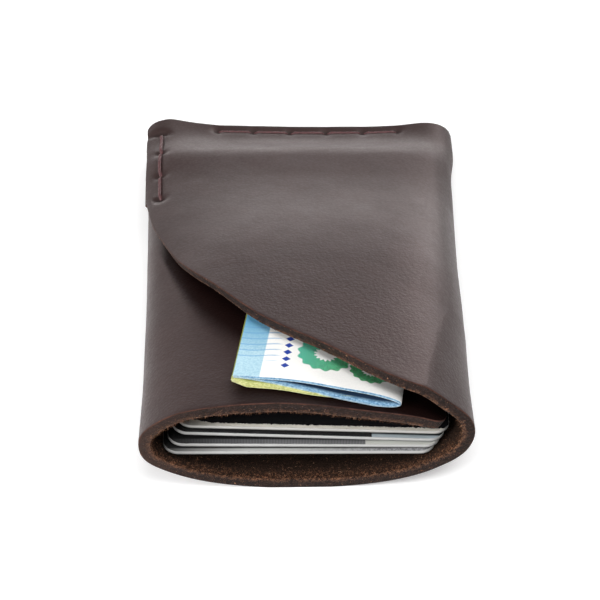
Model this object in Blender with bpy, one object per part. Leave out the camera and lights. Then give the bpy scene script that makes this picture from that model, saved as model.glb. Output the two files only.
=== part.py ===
"""Slim wrap wallet: one strip of thick leather folded round four cards and two folded notes.

The strip starts inside the right fold, runs left over the cards, turns down the left fold, crosses
the bottom, comes up the right fold and ends as a flap over the top. The rear edge is sewn shut and
the flap's left edge is sewn to the panel under it. X is the width, +Y points to the sewn rear and
+Z up. The origin is under the middle of the wallet, on the surface that it lies on.
"""
import math

import bmesh
import bpy
import numpy as np
from mathutils import Matrix, Vector

for old in list(bpy.data.objects):
    bpy.data.objects.remove(old, do_unlink=True)

MM = 0.001

# Leather
LEATHER = 2.4 * MM
CLEARANCE = 0.3 * MM
FOLD_BORE = 1.6 * MM

# Cards
CARD_LENGTH = 85.6 * MM
CARD_WIDTH = 53.98 * MM
CARD_THICKNESS = 0.76 * MM
CARD_CORNER = 3.18 * MM
CARD_EDGE_BREAK = 0.08 * MM
CARD_COUNT = 4
CARD_FIRST_INSET = 1.2 * MM
CARD_INSET_STEP = 0.75 * MM
CARD_SIDE_STEP = 1.01 * MM
CARD_FIRST_SIDE = -0.44 * MM
CARD_FRONT_GAPS = (0.46 * MM, 0.98 * MM, 0.50 * MM)
CARD_REAR_GAPS = (0.42 * MM, 0.68 * MM, 0.36 * MM)
CARD_ROLL_DEG = (-0.7, -1.0, -1.8, -1.7)
CARD_YAW_DEG = (0.05, 0.0, -0.2, -0.25)

# Mouth and body
SIDE_ROOM = 2.57 * MM
MOUTH_HEIGHT = 18.94 * MM
MOUTH_LOW_SHARE = 0.572
MOUTH_TOP_POWER = 2.41
MOUTH_BOTTOM_POWER = 2.23
BOTTOM_FLAT_SHARE = 0.012
SQUARING_POWER = 1.45
REAR_GIRTH_SHARE = 0.97
GIRTH_EASE_SHARE = 0.5
GIRTH_EASE_POWER = 2.0
BACK_ROOM = 0.6 * MM
DIP_LENGTH = 12.65 * MM
DIP_LEAD = 2.5 * MM
SEAM_LAND = 3.8 * MM
SEAM_LIFT = 1.3 * MM
SEAM_TILT_SHARE = 0.4
REAR_SHIFT = 0.6 * MM
REAR_SHIFT_START = 84.0 * MM
REAR_SHIFT_EASE = 16.0 * MM
PINCH_SHIFT = 1.5 * MM
STACK_ROOM = 2.3 * MM
SEAT_ROOM = 0.55 * MM
CREST_BOW = 0.5 * MM
SHOULDER_SINK = 1.2 * MM
SHOULDER_START = 22.0 * MM
SHOULDER_EASE = 9.0 * MM
SHOULDER_LOW = 4.0 * MM
SHOULDER_RISE = 8.0 * MM
SHOULDER_FADE = 60.0 * MM

# Panel inside the right fold, and the flap
PANEL_TUCK = 3.0 * MM
PANEL_CORNER = 3.0 * MM
PANEL_SINK = 2.1 * MM
PANEL_SINK_START = -6.0 * MM
PANEL_SINK_EASE = 24.0 * MM
PANEL_SINK_FADE = 46.0 * MM
FLAP_OVERHANG = 0.35 * MM
FLAP_CORNER = 3.2 * MM
FLAP_RISE_LEAD = 9.0 * MM
FOLD_ZONE = 8.0 * MM
POCKET_EDGE_GAP = 0.45 * MM
POCKET_LEFT_SHARE = 0.97
POCKET_LEFT_EASE = 20.5 * MM
POCKET_RIGHT_ROOM = 0.6 * MM
POCKET_RIGHT_EASE = 8.5 * MM
POCKET_REAR_EASE = 26.0 * MM
POCKET_REAR_SHARE = 0.3
FLAP_CUT_ACROSS_SHARES = (0.0, 0.11, 0.19, 0.26, 0.471, 0.656, 0.795, 0.897, 0.951, 0.982, 1.0)
FLAP_CUT_ALONG_SHARES = (0.0, 0.006, 0.0085, 0.0231, 0.1235, 0.2136, 0.3347, 0.4336, 0.5246, 0.5993, 0.6865)

# Stitching
REAR_STITCH_PITCH = 8.45 * MM
REAR_STITCHES = 6
REAR_STITCH_INSET = 2.2 * MM
REAR_STITCH_SHIFT = 2.95 * MM
SIDE_STITCHES = 4
SIDE_STITCH_PITCH = 9.1 * MM
SIDE_STITCH_INSET = 3.2 * MM
SIDE_STITCH_SLANT = 1.6 * MM
SIDE_STITCH_FROM_REAR = 5.9 * MM
STITCH_HOLE = 1.5 * MM
THREAD = 0.8 * MM
THREAD_LEG_SHARE = 0.84
THREAD_GAP = 0.2 * MM
HOLE_OVERRUN = 0.7 * MM

# Folded notes
NOTE_WIDTH = 33.25 * MM
NOTE_DEPTH = 36.0 * MM
NOTE_SHEET = 0.12 * MM
NOTE_PITCH = 0.19 * MM
NOTE_LAYERS = 4
NOTE_SKEW = 2.0 * MM
UPPER_NOTE_CORNER = (-13.6 * MM, 5.6 * MM)
LOWER_NOTE_CORNER = (-13.95 * MM, 5.45 * MM)
UPPER_NOTE_YAW_DEG = -8.0
LOWER_NOTE_YAW_DEG = -7.8
NOTE_SPRING = 0.8 * MM
NOTE_SLIP = 0.2 * MM

# Derived sizes
CARD_ROOM = CARD_FIRST_INSET + CARD_INSET_STEP * (CARD_COUNT - 1) + CARD_LENGTH
STACK_END = CARD_ROOM + BACK_ROOM
SEAM_START = STACK_END + DIP_LENGTH
LENGTH = SEAM_START + SEAM_LAND
STACK_HEIGHT = CARD_COUNT * CARD_THICKNESS + sum(CARD_REAR_GAPS)
STACK_CLEAR = STACK_HEIGHT + STACK_ROOM
NOTE_HEIGHT = NOTE_SHEET + NOTE_PITCH * (NOTE_LAYERS - 1)
POCKET_GAP = 2 * NOTE_HEIGHT + NOTE_SPRING + NOTE_SLIP + 3 * CLEARANCE
NOTE_END = UPPER_NOTE_CORNER[1] + NOTE_DEPTH
NOTE_RIGHT = UPPER_NOTE_CORNER[0] + NOTE_WIDTH
FOLD_RADIUS = FOLD_BORE + LEATHER / 2
MOUTH_HALF = CARD_WIDTH / 2 + SIDE_ROOM + LEATHER / 2

# Mesh density
LOOP_SAMPLES = 720
STATIONS = 60
ROWS_MAIN = 13
ROWS_DIP = 7
COLUMN_COUNTS = (17, 18, 16, 18, 25)
ROUND_SIDES = 10
RUN_STEPS = 4
SEAT_STEPS = 25
NOTE_ROWS = 7
NOTE_RUNS = 8
NORMAL_STEP = 0.3 * MM


def smoothstep(t):
    """Rises from 0 to 1 with flat ends."""
    t = np.clip(t, 0.0, 1.0)
    return t * t * (3.0 - 2.0 * t)


def clear_height(y):
    """Height inside the wallet along its middle line: wide at the mouth, nothing at the seam."""
    t = y / STACK_END
    open_height = MOUTH_HEIGHT + (STACK_CLEAR - MOUTH_HEIGHT) * t + 4.0 * CREST_BOW * t * (1.0 - t)
    closed = float(smoothstep((y - STACK_END + DIP_LEAD) / (DIP_LENGTH + DIP_LEAD)))
    return open_height * (1.0 - closed) + CLEARANCE * closed


def seam_lift(x, y):
    """How far the bottom rises off the table towards the rear seam, which the stitches lift."""
    rise = SEAM_LIFT * smoothstep((y - STACK_END + DIP_LENGTH) / (2 * DIP_LENGTH))
    return rise * (1.0 - SEAM_TILT_SHARE * x / MOUTH_HALF)


def raw_loop(half, y):
    """Middle surface of the folded tube at depth y, for a given half width."""
    middle = clear_height(y) + LEATHER
    ends = (middle ** 4 + (2 * FOLD_RADIUS) ** 4) ** 0.25
    rear = float(smoothstep(y / LENGTH))
    low_share = MOUTH_LOW_SHARE + (0.5 - MOUTH_LOW_SHARE) * rear
    low = ends * low_share
    high = ends - low
    pinch = (ends - middle) / high
    mouth = (MOUTH_HEIGHT + LEATHER) / 2
    squarer = (2 * mouth / ends) ** SQUARING_POWER
    angle = np.linspace(0.0, 2 * math.pi, 2 * LOOP_SAMPLES + 1)
    c = np.cos(angle)
    s = np.sin(angle)
    across = np.where(s >= 0, MOUTH_TOP_POWER, MOUTH_BOTTOM_POWER) * squarer
    upright = 2.0 + (np.where(s >= 0, MOUTH_TOP_POWER, MOUTH_BOTTOM_POWER) - 2.0) * (1.0 - rear)
    x = half * np.sign(c) * np.abs(c) ** (2.0 / across)
    rise = np.abs(s) ** (2.0 / upright)
    rise = np.where(s < 0, np.minimum(rise * (1.0 + BOTTOM_FLAT_SHARE), 1.0), rise)
    off_middle = np.minimum(np.abs((x - PINCH_SHIFT * rear) / half), 1.0)
    squeeze = 1.0 - pinch * (1.0 - off_middle ** 4)
    z = np.where(s >= 0, high * rise * squeeze, -low * rise) + low + LEATHER / 2
    shoulder = smoothstep((-x - SHOULDER_START) / SHOULDER_EASE) * smoothstep((z - SHOULDER_LOW) / SHOULDER_RISE)
    z -= SHOULDER_SINK * shoulder * (1.0 - smoothstep(y / SHOULDER_FADE))
    z += seam_lift(x, y)
    return np.stack([x + REAR_SHIFT * smoothstep((y - REAR_SHIFT_START) / REAR_SHIFT_EASE), z], axis=-1)


def arc_length(points):
    """Running length along a row of points."""
    steps = np.linalg.norm(np.diff(points, axis=0), axis=1)
    return np.concatenate([[0.0], np.cumsum(steps)])


def make_stations():
    """Sections of the tube at even depths, each with points evenly spaced along its girth."""
    mouth_girth = arc_length(raw_loop(MOUTH_HALF, 0.0))[-1]
    depths = np.linspace(0.0, LENGTH, STATIONS)
    loops = []
    for y in depths:
        narrowed = 1.0 - max(0.0, 1.0 - y / (LENGTH * GIRTH_EASE_SHARE)) ** GIRTH_EASE_POWER
        girth = mouth_girth * (1.0 + (REAR_GIRTH_SHARE - 1.0) * narrowed)
        low = 0.5 * MOUTH_HALF
        high = 1.5 * MOUTH_HALF
        for _ in range(40):
            half = 0.5 * (low + high)
            if arc_length(raw_loop(half, y))[-1] < girth:
                low = half
            else:
                high = half
        points = raw_loop(half, y)
        arc = arc_length(points)
        even = np.linspace(0.0, arc[-1], LOOP_SAMPLES + 1)
        loops.append(np.stack([np.interp(even, arc, points[:, k]) for k in range(2)], axis=-1))
    return depths, np.array(loops), mouth_girth


DEPTHS, LOOPS, GIRTH = make_stations()


def loop_at(share, y):
    """Point of the tube's middle surface at a share of the girth and a depth."""
    row = np.clip(y / LENGTH, 0.0, 1.0) * (STATIONS - 1)
    j = min(int(row), STATIONS - 2)
    column = (share % 1.0) * LOOP_SAMPLES
    i = min(int(column), LOOP_SAMPLES - 1)
    u = column - i
    v = row - j
    near = LOOPS[j, i] * (1 - u) + LOOPS[j, i + 1] * u
    far = LOOPS[j + 1, i] * (1 - u) + LOOPS[j + 1, i + 1] * u
    return near * (1 - v) + far * v


def share_on_top(x, y):
    """Share of the girth at which the upper half of the tube lies at x, at depth y."""
    row = int(round(np.clip(y / LENGTH, 0.0, 1.0) * (STATIONS - 1)))
    top = LOOPS[row][: LOOP_SAMPLES // 2]
    return float(np.interp(-x, -top[:, 0], np.arange(len(top)))) / LOOP_SAMPLES


PANEL_START = share_on_top(MOUTH_HALF - PANEL_TUCK, 0.0) * GIRTH


def pocket_gap(x, y):
    """Gap between the panel and the flap: room for the notes, closing at the seams and folds."""
    fold = max(0.0, 1.0 - (abs(x) / MOUTH_HALF) ** 8) ** 0.8
    note_side = NOTE_RIGHT + math.tan(-math.radians(UPPER_NOTE_YAW_DEG)) * y + POCKET_RIGHT_ROOM
    right = min(fold, 1.0 - float(smoothstep((x - note_side) / POCKET_RIGHT_EASE)))
    left = float(smoothstep((x + MOUTH_HALF * POCKET_LEFT_SHARE) / POCKET_LEFT_EASE))
    behind = float(smoothstep((y - NOTE_END) / POCKET_REAR_EASE))
    wide = min(right, left) * (1.0 - behind * (1.0 - POCKET_REAR_SHARE))
    along = float(smoothstep((SEAM_START - y) / (2 * DIP_LENGTH)))
    edge = CLEARANCE + (POCKET_EDGE_GAP - CLEARANCE) * along
    return edge + (POCKET_GAP - edge) * wide * along


def outward_at(share, y):
    """Outward direction of the tube's section at a share of the girth."""
    step = NORMAL_STEP / GIRTH
    ahead = loop_at(share + step, y) - loop_at(share - step, y)
    return np.array([ahead[1], -ahead[0]]) / np.linalg.norm(ahead)


def find_flap_place(y, inset):
    """Arc place at which the flap's outer face lies at an inset from its straight left edge."""
    loop = LOOPS[min(int(y / LENGTH * STATIONS), STATIONS - 1)]
    goal = loop[:, 0].min() - LEATHER / 2 - FLAP_OVERHANG + inset
    near = 0.35
    far = 0.5
    for _ in range(30):
        share = 0.5 * (near + far)
        base = loop_at(share, y)
        outer = base + outward_at(share, y) * (1.5 * LEATHER + pocket_gap(base[0], y))
        if outer[0] > goal:
            near = share
        else:
            far = share
    return 0.5 * (near + far) * GIRTH


FLAP_ENDS = [find_flap_place(y, 0.0) for y in DEPTHS]
FLAP_END = FLAP_ENDS[-1]


def flap_place(over, y):
    """Arc place on the strip of a share of the flap's span, whose left edge is straight in plan."""
    end = float(np.interp(y, DEPTHS, FLAP_ENDS))
    return GIRTH + over * end / FLAP_END


def panel_sink(x, y):
    """How far the panel's free right side hangs below the tube's section near the mouth."""
    across = float(smoothstep((x - PANEL_SINK_START) / PANEL_SINK_EASE))
    return PANEL_SINK * across * (1.0 - float(smoothstep((y - NOTE_END) / PANEL_SINK_FADE)))


def strip_point(q, y):
    """Middle surface of the strip at arc place q, measured from the right fold's outermost line."""
    base = loop_at(q / GIRTH, y)
    if q < GIRTH / 2:
        return base - np.array([0.0, panel_sink(base[0], y)])
    if q < GIRTH - FLAP_RISE_LEAD:
        return base
    outward = outward_at(q / GIRTH, y)
    over = q - GIRTH
    rise = float(smoothstep((over + FLAP_RISE_LEAD) / (PANEL_START - CLEARANCE + FLAP_RISE_LEAD)))
    return base + outward * (LEATHER + pocket_gap(base[0], y)) * rise


def strip_normal(q, y):
    """Outward normal of the strip in its own section plane."""
    ahead = strip_point(q + NORMAL_STEP, y) - strip_point(q - NORMAL_STEP, y)
    return np.array([ahead[1], -ahead[0]]) / np.linalg.norm(ahead)


def skin_point(q, y, height):
    """Point at a height above the strip's middle surface, with the mouth at y = 0."""
    x, z = strip_point(q, y) + strip_normal(q, y) * height
    return np.array([x, y, z])


def smooth_table(place, places, values):
    """Smooth curve through a rising table of places and values."""
    steps = np.diff(values) / np.diff(places)
    joined = [2.0 * a * b / (a + b) for a, b in zip(steps, steps[1:])]
    slopes = [steps[0]] + joined + [steps[-1]]
    k = int(np.clip(np.searchsorted(places, place) - 1, 0, len(places) - 2))
    width = places[k + 1] - places[k]
    t = min(max((place - places[k]) / width, 0.0), 1.0)
    near = values[k] * (1.0 + 2.0 * t) + slopes[k] * width * t
    far = values[k + 1] * (3.0 - 2.0 * t) - slopes[k + 1] * width * (1.0 - t)
    return near * (1.0 - t) ** 2 + far * t ** 2


def flap_front(over):
    """Depth at which the flap's sweeping front edge crosses arc place `over` past the right fold."""
    return LENGTH * smooth_table(over / FLAP_END, FLAP_CUT_ACROSS_SHARES, FLAP_CUT_ALONG_SHARES)


def corner_cut(distance, radius):
    """How far a round corner draws an edge in, at a distance from the neighbouring edge."""
    if distance >= radius:
        return 0.0
    return radius - math.sqrt(radius ** 2 - (radius - distance) ** 2)


def edge_steps(radius):
    """Places near a round corner that follow its quarter circle evenly."""
    return [radius * (1.0 - math.cos(math.radians(a))) for a in (0, 22, 45, 68, 90)]


def strip_columns():
    """Arc places of the leather's columns, close together at its folds and corners."""
    first = [PANEL_START + d for d in edge_steps(PANEL_CORNER)]
    last = [GIRTH + FLAP_END - d for d in reversed(edge_steps(FLAP_CORNER))]
    stops = (first[-1], GIRTH / 2 - FOLD_ZONE, GIRTH / 2 + FOLD_ZONE, GIRTH - FOLD_ZONE, GIRTH + FOLD_ZONE,
             last[0])
    columns = first[:-1]
    for start, end, count in zip(stops, stops[1:], COLUMN_COUNTS):
        columns += list(np.linspace(start, end, count + 1))[:-1]
    return columns + last


def column_limits(q):
    """Front and rear depth of the strip at arc place q."""
    front = 0.0
    rear = LENGTH
    if q - PANEL_START < PANEL_CORNER:
        cut = corner_cut(q - PANEL_START, PANEL_CORNER)
        front += cut
        rear -= cut
    if q > GIRTH:
        front = flap_front(q - GIRTH)
    to_end = GIRTH + FLAP_END - q
    if to_end < FLAP_CORNER:
        rear -= corner_cut(to_end, FLAP_CORNER)
    return front, rear


def column_depths(front, rear):
    """Depths of a column's rows: even to the cards' end, then closer over the dip and the seam."""
    bend = max(min(STACK_END - DIP_LENGTH / 2, rear - SEAM_LAND - DIP_LENGTH), front + DIP_LENGTH)
    main = np.linspace(front, bend, ROWS_MAIN)
    return np.concatenate([main, np.linspace(bend, rear, ROWS_DIP + 1)[1:]])


def material(name, colour, roughness):
    """Principled material with one colour."""
    made = bpy.data.materials.new(name)
    made.use_nodes = True
    shader = made.node_tree.nodes["Principled BSDF"]
    shader.inputs["Base Color"].default_value = (*colour, 1.0)
    shader.inputs["Roughness"].default_value = roughness
    shader.inputs["Metallic"].default_value = 0.0
    made.diffuse_color = (*colour, 1.0)
    return made


def add_object(name, mesh, finish, smooth_angle):
    """Links a mesh as a named object with its own finish."""
    made = bpy.data.objects.new(name, mesh)
    bpy.context.scene.collection.objects.link(made)
    mesh.materials.append(finish)
    mesh.shade_smooth()
    mesh.set_sharp_from_angle(angle=math.radians(smooth_angle))
    return made


def thick_sheet(name, outer, inner):
    """Closed mesh between two grids of points that face outward and inward."""
    columns, rows = outer.shape[:2]
    bm = bmesh.new()
    tops = [[bm.verts.new(outer[i, j]) for j in range(rows)] for i in range(columns)]
    lows = [[bm.verts.new(inner[i, j]) for j in range(rows)] for i in range(columns)]
    for i in range(columns - 1):
        for j in range(rows - 1):
            bm.faces.new((tops[i][j], tops[i][j + 1], tops[i + 1][j + 1], tops[i + 1][j]))
            bm.faces.new((lows[i][j], lows[i + 1][j], lows[i + 1][j + 1], lows[i][j + 1]))
        bm.faces.new((tops[i][0], tops[i + 1][0], lows[i + 1][0], lows[i][0]))
        bm.faces.new((tops[i][-1], lows[i][-1], lows[i + 1][-1], tops[i + 1][-1]))
    for j in range(rows - 1):
        bm.faces.new((tops[0][j], lows[0][j], lows[0][j + 1], tops[0][j + 1]))
        bm.faces.new((tops[-1][j], tops[-1][j + 1], lows[-1][j + 1], lows[-1][j]))
    bmesh.ops.recalc_face_normals(bm, faces=bm.faces)
    mesh = bpy.data.meshes.new(name)
    bm.to_mesh(mesh)
    bm.free()
    return mesh


def leather_grids():
    """Grain side and flesh side of the strip as grids of points."""
    outer = []
    inner = []
    for q in strip_columns():
        depths = column_depths(*column_limits(q))
        places = [flap_place(q - GIRTH, y) if q > GIRTH else q for y in depths]
        outer.append([skin_point(place, y, LEATHER / 2) for place, y in zip(places, depths)])
        inner.append([skin_point(place, y, -LEATHER / 2) for place, y in zip(places, depths)])
    return np.array(outer), np.array(inner)


OUTER, INNER = leather_grids()
MIDDLE_X = 0.5 * (OUTER[..., 0].min() + OUTER[..., 0].max())
LOWEST = OUTER[..., 2].min()


def placed(point):
    """Moves a point from the section's own coordinates into the wallet's frame."""
    return Vector((point[0] - MIDDLE_X, point[1] - LENGTH / 2, point[2] - LOWEST))


def placed_grid(grid):
    """The same for a whole grid of points."""
    return grid - np.array([MIDDLE_X, LENGTH / 2, LOWEST])


def panel_top(x, y):
    """Height of the panel's upper face, on which the notes lie."""
    q = share_on_top(x, y) * GIRTH
    return float(skin_point(q, y, LEATHER / 2)[2])


def floor_top(x, y):
    """Height of the bottom's inner face."""
    row = int(round(np.clip(y / LENGTH, 0.0, 1.0) * (STATIONS - 1)))
    low = LOOPS[row][LOOP_SAMPLES // 2: LOOP_SAMPLES + 1]
    k = float(np.interp(x, low[:, 0], np.arange(len(low))))
    q = (0.5 + k / LOOP_SAMPLES) * GIRTH
    return float((loop_at(q / GIRTH, y) - strip_normal(min(q, GIRTH), y) * LEATHER / 2)[1])


def cylinder(name, start, end, diameter, sides):
    """Round bar from one point to another."""
    axis = end - start
    bm = bmesh.new()
    bmesh.ops.create_cone(
        bm, cap_ends=True, segments=sides, radius1=diameter / 2, radius2=diameter / 2, depth=axis.length)
    turn = axis.to_track_quat("Z", "Y").to_matrix().to_4x4()
    bm.transform(Matrix.Translation((start + end) / 2) @ turn)
    mesh = bpy.data.meshes.new(name)
    bm.to_mesh(mesh)
    bm.free()
    return mesh


def tube(name, points, diameter, sides):
    """Round thread along a row of points, with closed ends."""
    bm = bmesh.new()
    rings = []
    for k, point in enumerate(points):
        ahead = points[min(k + 1, len(points) - 1)] - points[max(k - 1, 0)]
        turn = ahead.to_track_quat("Z", "Y").to_matrix()
        ring = []
        for side in range(sides):
            angle = 2 * math.pi * side / sides
            spoke = Vector((math.cos(angle), math.sin(angle), 0.0)) * (diameter / 2)
            ring.append(bm.verts.new(point + turn @ spoke))
        rings.append(ring)
    for a, b in zip(rings, rings[1:]):
        for side in range(sides):
            after = (side + 1) % sides
            bm.faces.new((a[side], a[after], b[after], b[side]))
    bm.faces.new(list(reversed(rings[0])))
    bm.faces.new(rings[-1])
    bmesh.ops.recalc_face_normals(bm, faces=bm.faces)
    mesh = bpy.data.meshes.new(name)
    bm.to_mesh(mesh)
    bm.free()
    return mesh


def rear_stitch_places():
    """Arc places of the rear seam's holes on the flap."""
    y = LENGTH - REAR_STITCH_INSET
    first = REAR_STITCH_SHIFT - REAR_STITCH_PITCH * (REAR_STITCHES - 1) / 2
    return [share_on_top(first + REAR_STITCH_PITCH * k, y) * GIRTH for k in range(REAR_STITCHES)]


def rear_faces(q, y):
    """Point and outward direction on the flap over a place of the rear seam, and on the bottom under it."""
    top = skin_point(q + GIRTH, y, LEATHER / 2)
    bottom = np.array([top[0], y, seam_lift(top[0], y)])
    return (top, np.array([0.0, 0.0, 1.0])), (bottom, np.array([0.0, 0.0, -1.0]))


def side_faces(q, y):
    """The same for the side seam: on the flap, and inside the wallet on the panel under it."""
    top = skin_point(q + GIRTH, y, LEATHER / 2)
    up = strip_normal(q + GIRTH, y)
    under = q - SIDE_STITCH_SLANT
    bottom = skin_point(under, y, -LEATHER / 2)
    down = -strip_normal(under, y)
    return (top, np.array([up[0], 0.0, up[1]])), (bottom, np.array([down[0], 0.0, down[1]]))


def seam_faces():
    """For each seam, its two faces at every hole and at the places between them."""
    rear_y = LENGTH - REAR_STITCH_INSET
    holes = rear_stitch_places()
    between = np.linspace(holes[0], holes[-1], (REAR_STITCHES - 1) * RUN_STEPS + 1)
    rear = [rear_faces(q, rear_y) for q in between]
    steps = (SIDE_STITCHES - 1) * RUN_STEPS
    depths = [LENGTH - SIDE_STITCH_FROM_REAR - SIDE_STITCH_PITCH * k / RUN_STEPS for k in range(steps + 1)]
    side = [side_faces(find_flap_place(y, SIDE_STITCH_INSET), y) for y in depths]
    return {"rear": rear, "side": side}


def cut_holes(leather, seams):
    """Cuts every stitch hole through the layers that its seam joins."""
    for seam, faces in seams.items():
        for k, (upper, lower) in enumerate(faces[::RUN_STEPS]):
            top = placed(upper[0])
            bottom = placed(lower[0])
            along = (top - bottom).normalized() * HOLE_OVERRUN
            mesh = cylinder(f"{seam}_hole_{k}", bottom - along, top + along, STITCH_HOLE, ROUND_SIDES)
            cutter = bpy.data.objects.new(mesh.name, mesh)
            bpy.context.scene.collection.objects.link(cutter)
            cutter.hide_render = True
            cutter.display_type = "WIRE"
            cut = leather.modifiers.new(mesh.name, "BOOLEAN")
            cut.operation = "DIFFERENCE"
            cut.solver = "EXACT"
            cut.object = cutter


def joined_bars(name, meshes):
    """Fuses several closed bars into one body, keeping only the union."""
    base = bpy.data.objects.new(name, meshes[0])
    bpy.context.scene.collection.objects.link(base)
    for k, mesh in enumerate(meshes[1:]):
        other = bpy.data.objects.new(f"{name}_bar_{k}", mesh)
        bpy.context.scene.collection.objects.link(other)
        other.hide_render = True
        other.display_type = "WIRE"
        join = base.modifiers.new(f"bar_{k}", "BOOLEAN")
        join.operation = "UNION"
        join.solver = "EXACT"
        join.object = other
    return base


def off_face(face):
    """Middle of a thread that lies just off a face of the leather."""
    point, outward = face
    return placed(point) + Vector(outward) * (THREAD_GAP + THREAD / 2)


def thread_run(name, faces):
    """Run of thread along one face of a seam, a little longer than its row of holes."""
    path = [off_face(face) for face in faces]
    lead = (path[0] - path[1]).normalized() * (THREAD / 2)
    tail = (path[-1] - path[-2]).normalized() * (THREAD / 2)
    return tube(name, [path[0] + lead] + path + [path[-1] + tail], THREAD, ROUND_SIDES)


def make_thread(name, faces, finish):
    """Saddle stitching of one seam: a run on each face joined by a leg through every hole."""
    meshes = [thread_run(f"{name}_top", [upper for upper, _ in faces])]
    meshes.append(thread_run(f"{name}_bottom", [lower for _, lower in faces]))
    for k, (upper, lower) in enumerate(faces[::RUN_STEPS]):
        top = placed(upper[0])
        bottom = placed(lower[0])
        reach = (top - bottom).normalized() * (THREAD_GAP + THREAD / 2)
        leg = THREAD * THREAD_LEG_SHARE
        meshes.append(cylinder(f"{name}_leg_{k}", bottom - reach, top + reach, leg, ROUND_SIDES))
    thread = joined_bars(name, meshes)
    thread.data.materials.append(finish)
    return thread


def card_outline():
    """Rounded rectangle of a card, as points round its centre."""
    points = []
    half_x = CARD_WIDTH / 2 - CARD_CORNER
    half_y = CARD_LENGTH / 2 - CARD_CORNER
    corners = ((half_x, half_y, 0), (-half_x, half_y, 90), (-half_x, -half_y, 180), (half_x, -half_y, 270))
    for x, y, start in corners:
        for step in range(6):
            angle = math.radians(start + 90 * step / 5)
            points.append((x + CARD_CORNER * math.cos(angle), y + CARD_CORNER * math.sin(angle)))
    return points


def make_card(number, finish, centre, turn):
    """One card, its origin at its centre and its length along its own Y."""
    bm = bmesh.new()
    base = [bm.verts.new((x, y, -CARD_THICKNESS / 2)) for x, y in card_outline()]
    face = bm.faces.new(base)
    grown = bmesh.ops.extrude_face_region(bm, geom=[face])
    for item in grown["geom"]:
        if isinstance(item, bmesh.types.BMVert):
            item.co.z = CARD_THICKNESS / 2
    bmesh.ops.recalc_face_normals(bm, faces=bm.faces)
    mesh = bpy.data.meshes.new(f"card_{number}")
    bm.to_mesh(mesh)
    bm.free()
    card = add_object(f"card_{number}", mesh, finish, 40)
    edge = card.modifiers.new("edge_break", "BEVEL")
    edge.width = CARD_EDGE_BREAK
    edge.segments = 1
    edge.limit_method = "ANGLE"
    card.matrix_world = Matrix.Translation(centre) @ turn
    return card


def seat_height(slope, side, roll):
    """Lowest height of the first card's underside at the mouth at which it clears the bottom."""
    found = 0.0
    for y in np.linspace(CARD_FIRST_INSET, CARD_FIRST_INSET + CARD_LENGTH, SEAT_STEPS):
        for edge in (side - CARD_WIDTH / 2, side + CARD_WIDTH / 2):
            underside = slope * y - math.tan(roll) * (edge - side)
            found = max(found, floor_top(edge, y) + SEAT_ROOM - underside)
    return found


def card_seats():
    """Centre and turn of each card: the lowest one wedges between the curved sides, tilted back."""
    left = CARD_FIRST_SIDE - CARD_WIDTH / 2
    rear = CARD_FIRST_INSET + CARD_LENGTH
    slope = (floor_top(left, rear) - floor_top(left, CARD_FIRST_INSET)) / CARD_LENGTH
    base = seat_height(slope, CARD_FIRST_SIDE, -math.radians(CARD_ROLL_DEG[0]))
    seats = []
    for k in range(CARD_COUNT):
        inset = CARD_FIRST_INSET + CARD_INSET_STEP * k
        front_z = base + slope * inset + CARD_THICKNESS * k + sum(CARD_FRONT_GAPS[:k])
        rear_z = base + slope * (inset + CARD_LENGTH) + CARD_THICKNESS * k + sum(CARD_REAR_GAPS[:k])
        pitch = math.atan2(rear_z - front_z, CARD_LENGTH)
        middle = np.array([CARD_FIRST_SIDE + CARD_SIDE_STEP * k,
                           inset + CARD_LENGTH / 2 * math.cos(pitch),
                           (front_z + rear_z) / 2 + CARD_THICKNESS / 2])
        turn = Matrix.Rotation(math.radians(CARD_YAW_DEG[k]), 4, "Z")
        turn = turn @ Matrix.Rotation(pitch, 4, "X")
        turn = turn @ Matrix.Rotation(-math.radians(CARD_ROLL_DEG[k]), 4, "Y")
        seats.append((placed(middle), turn))
    return seats


def fold_path(top_arch):
    """Middle line of a note folded in half twice, seen from its end: across and height."""
    pitch = NOTE_PITCH
    levels = [pitch * k + NOTE_SHEET / 2 for k in range(NOTE_LAYERS)]
    left = NOTE_SHEET / 2 + pitch / 2
    right = NOTE_WIDTH - NOTE_SHEET / 2 - 1.5 * pitch

    def lifted(x, z, share):
        arch = math.sin(math.pi * np.clip(x / NOTE_WIDTH, 0.0, 1.0)) ** 2
        return (x, z + top_arch * arch * share)

    def straight(x0, x1, z, share):
        return [lifted(x0 + (x1 - x0) * k / NOTE_RUNS, z, share) for k in range(NOTE_RUNS + 1)]

    def bend(x, z, radius, start, end, steps, share):
        found = []
        for k in range(1, steps):
            angle = math.radians(start + (end - start) * k / steps)
            found.append(lifted(x + radius * math.cos(angle), z + radius * math.sin(angle), share))
        return found

    path = straight(left, right, levels[1], 0.0)
    path += bend(right, (levels[1] + levels[2]) / 2, pitch / 2, -90, 90, 4, 0.5)
    path += straight(right, left, levels[2], 1.0)
    path += bend(left, (levels[2] + levels[3]) / 2, pitch / 2, 270, 90, 4, 1.0)
    path += straight(left, right, levels[3], 1.0)
    path += bend(right, (levels[0] + levels[3]) / 2, 1.5 * pitch, 90, -90, 6, 0.5)
    path += straight(right, left, levels[0], 0.0)
    return np.array(path)


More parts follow.
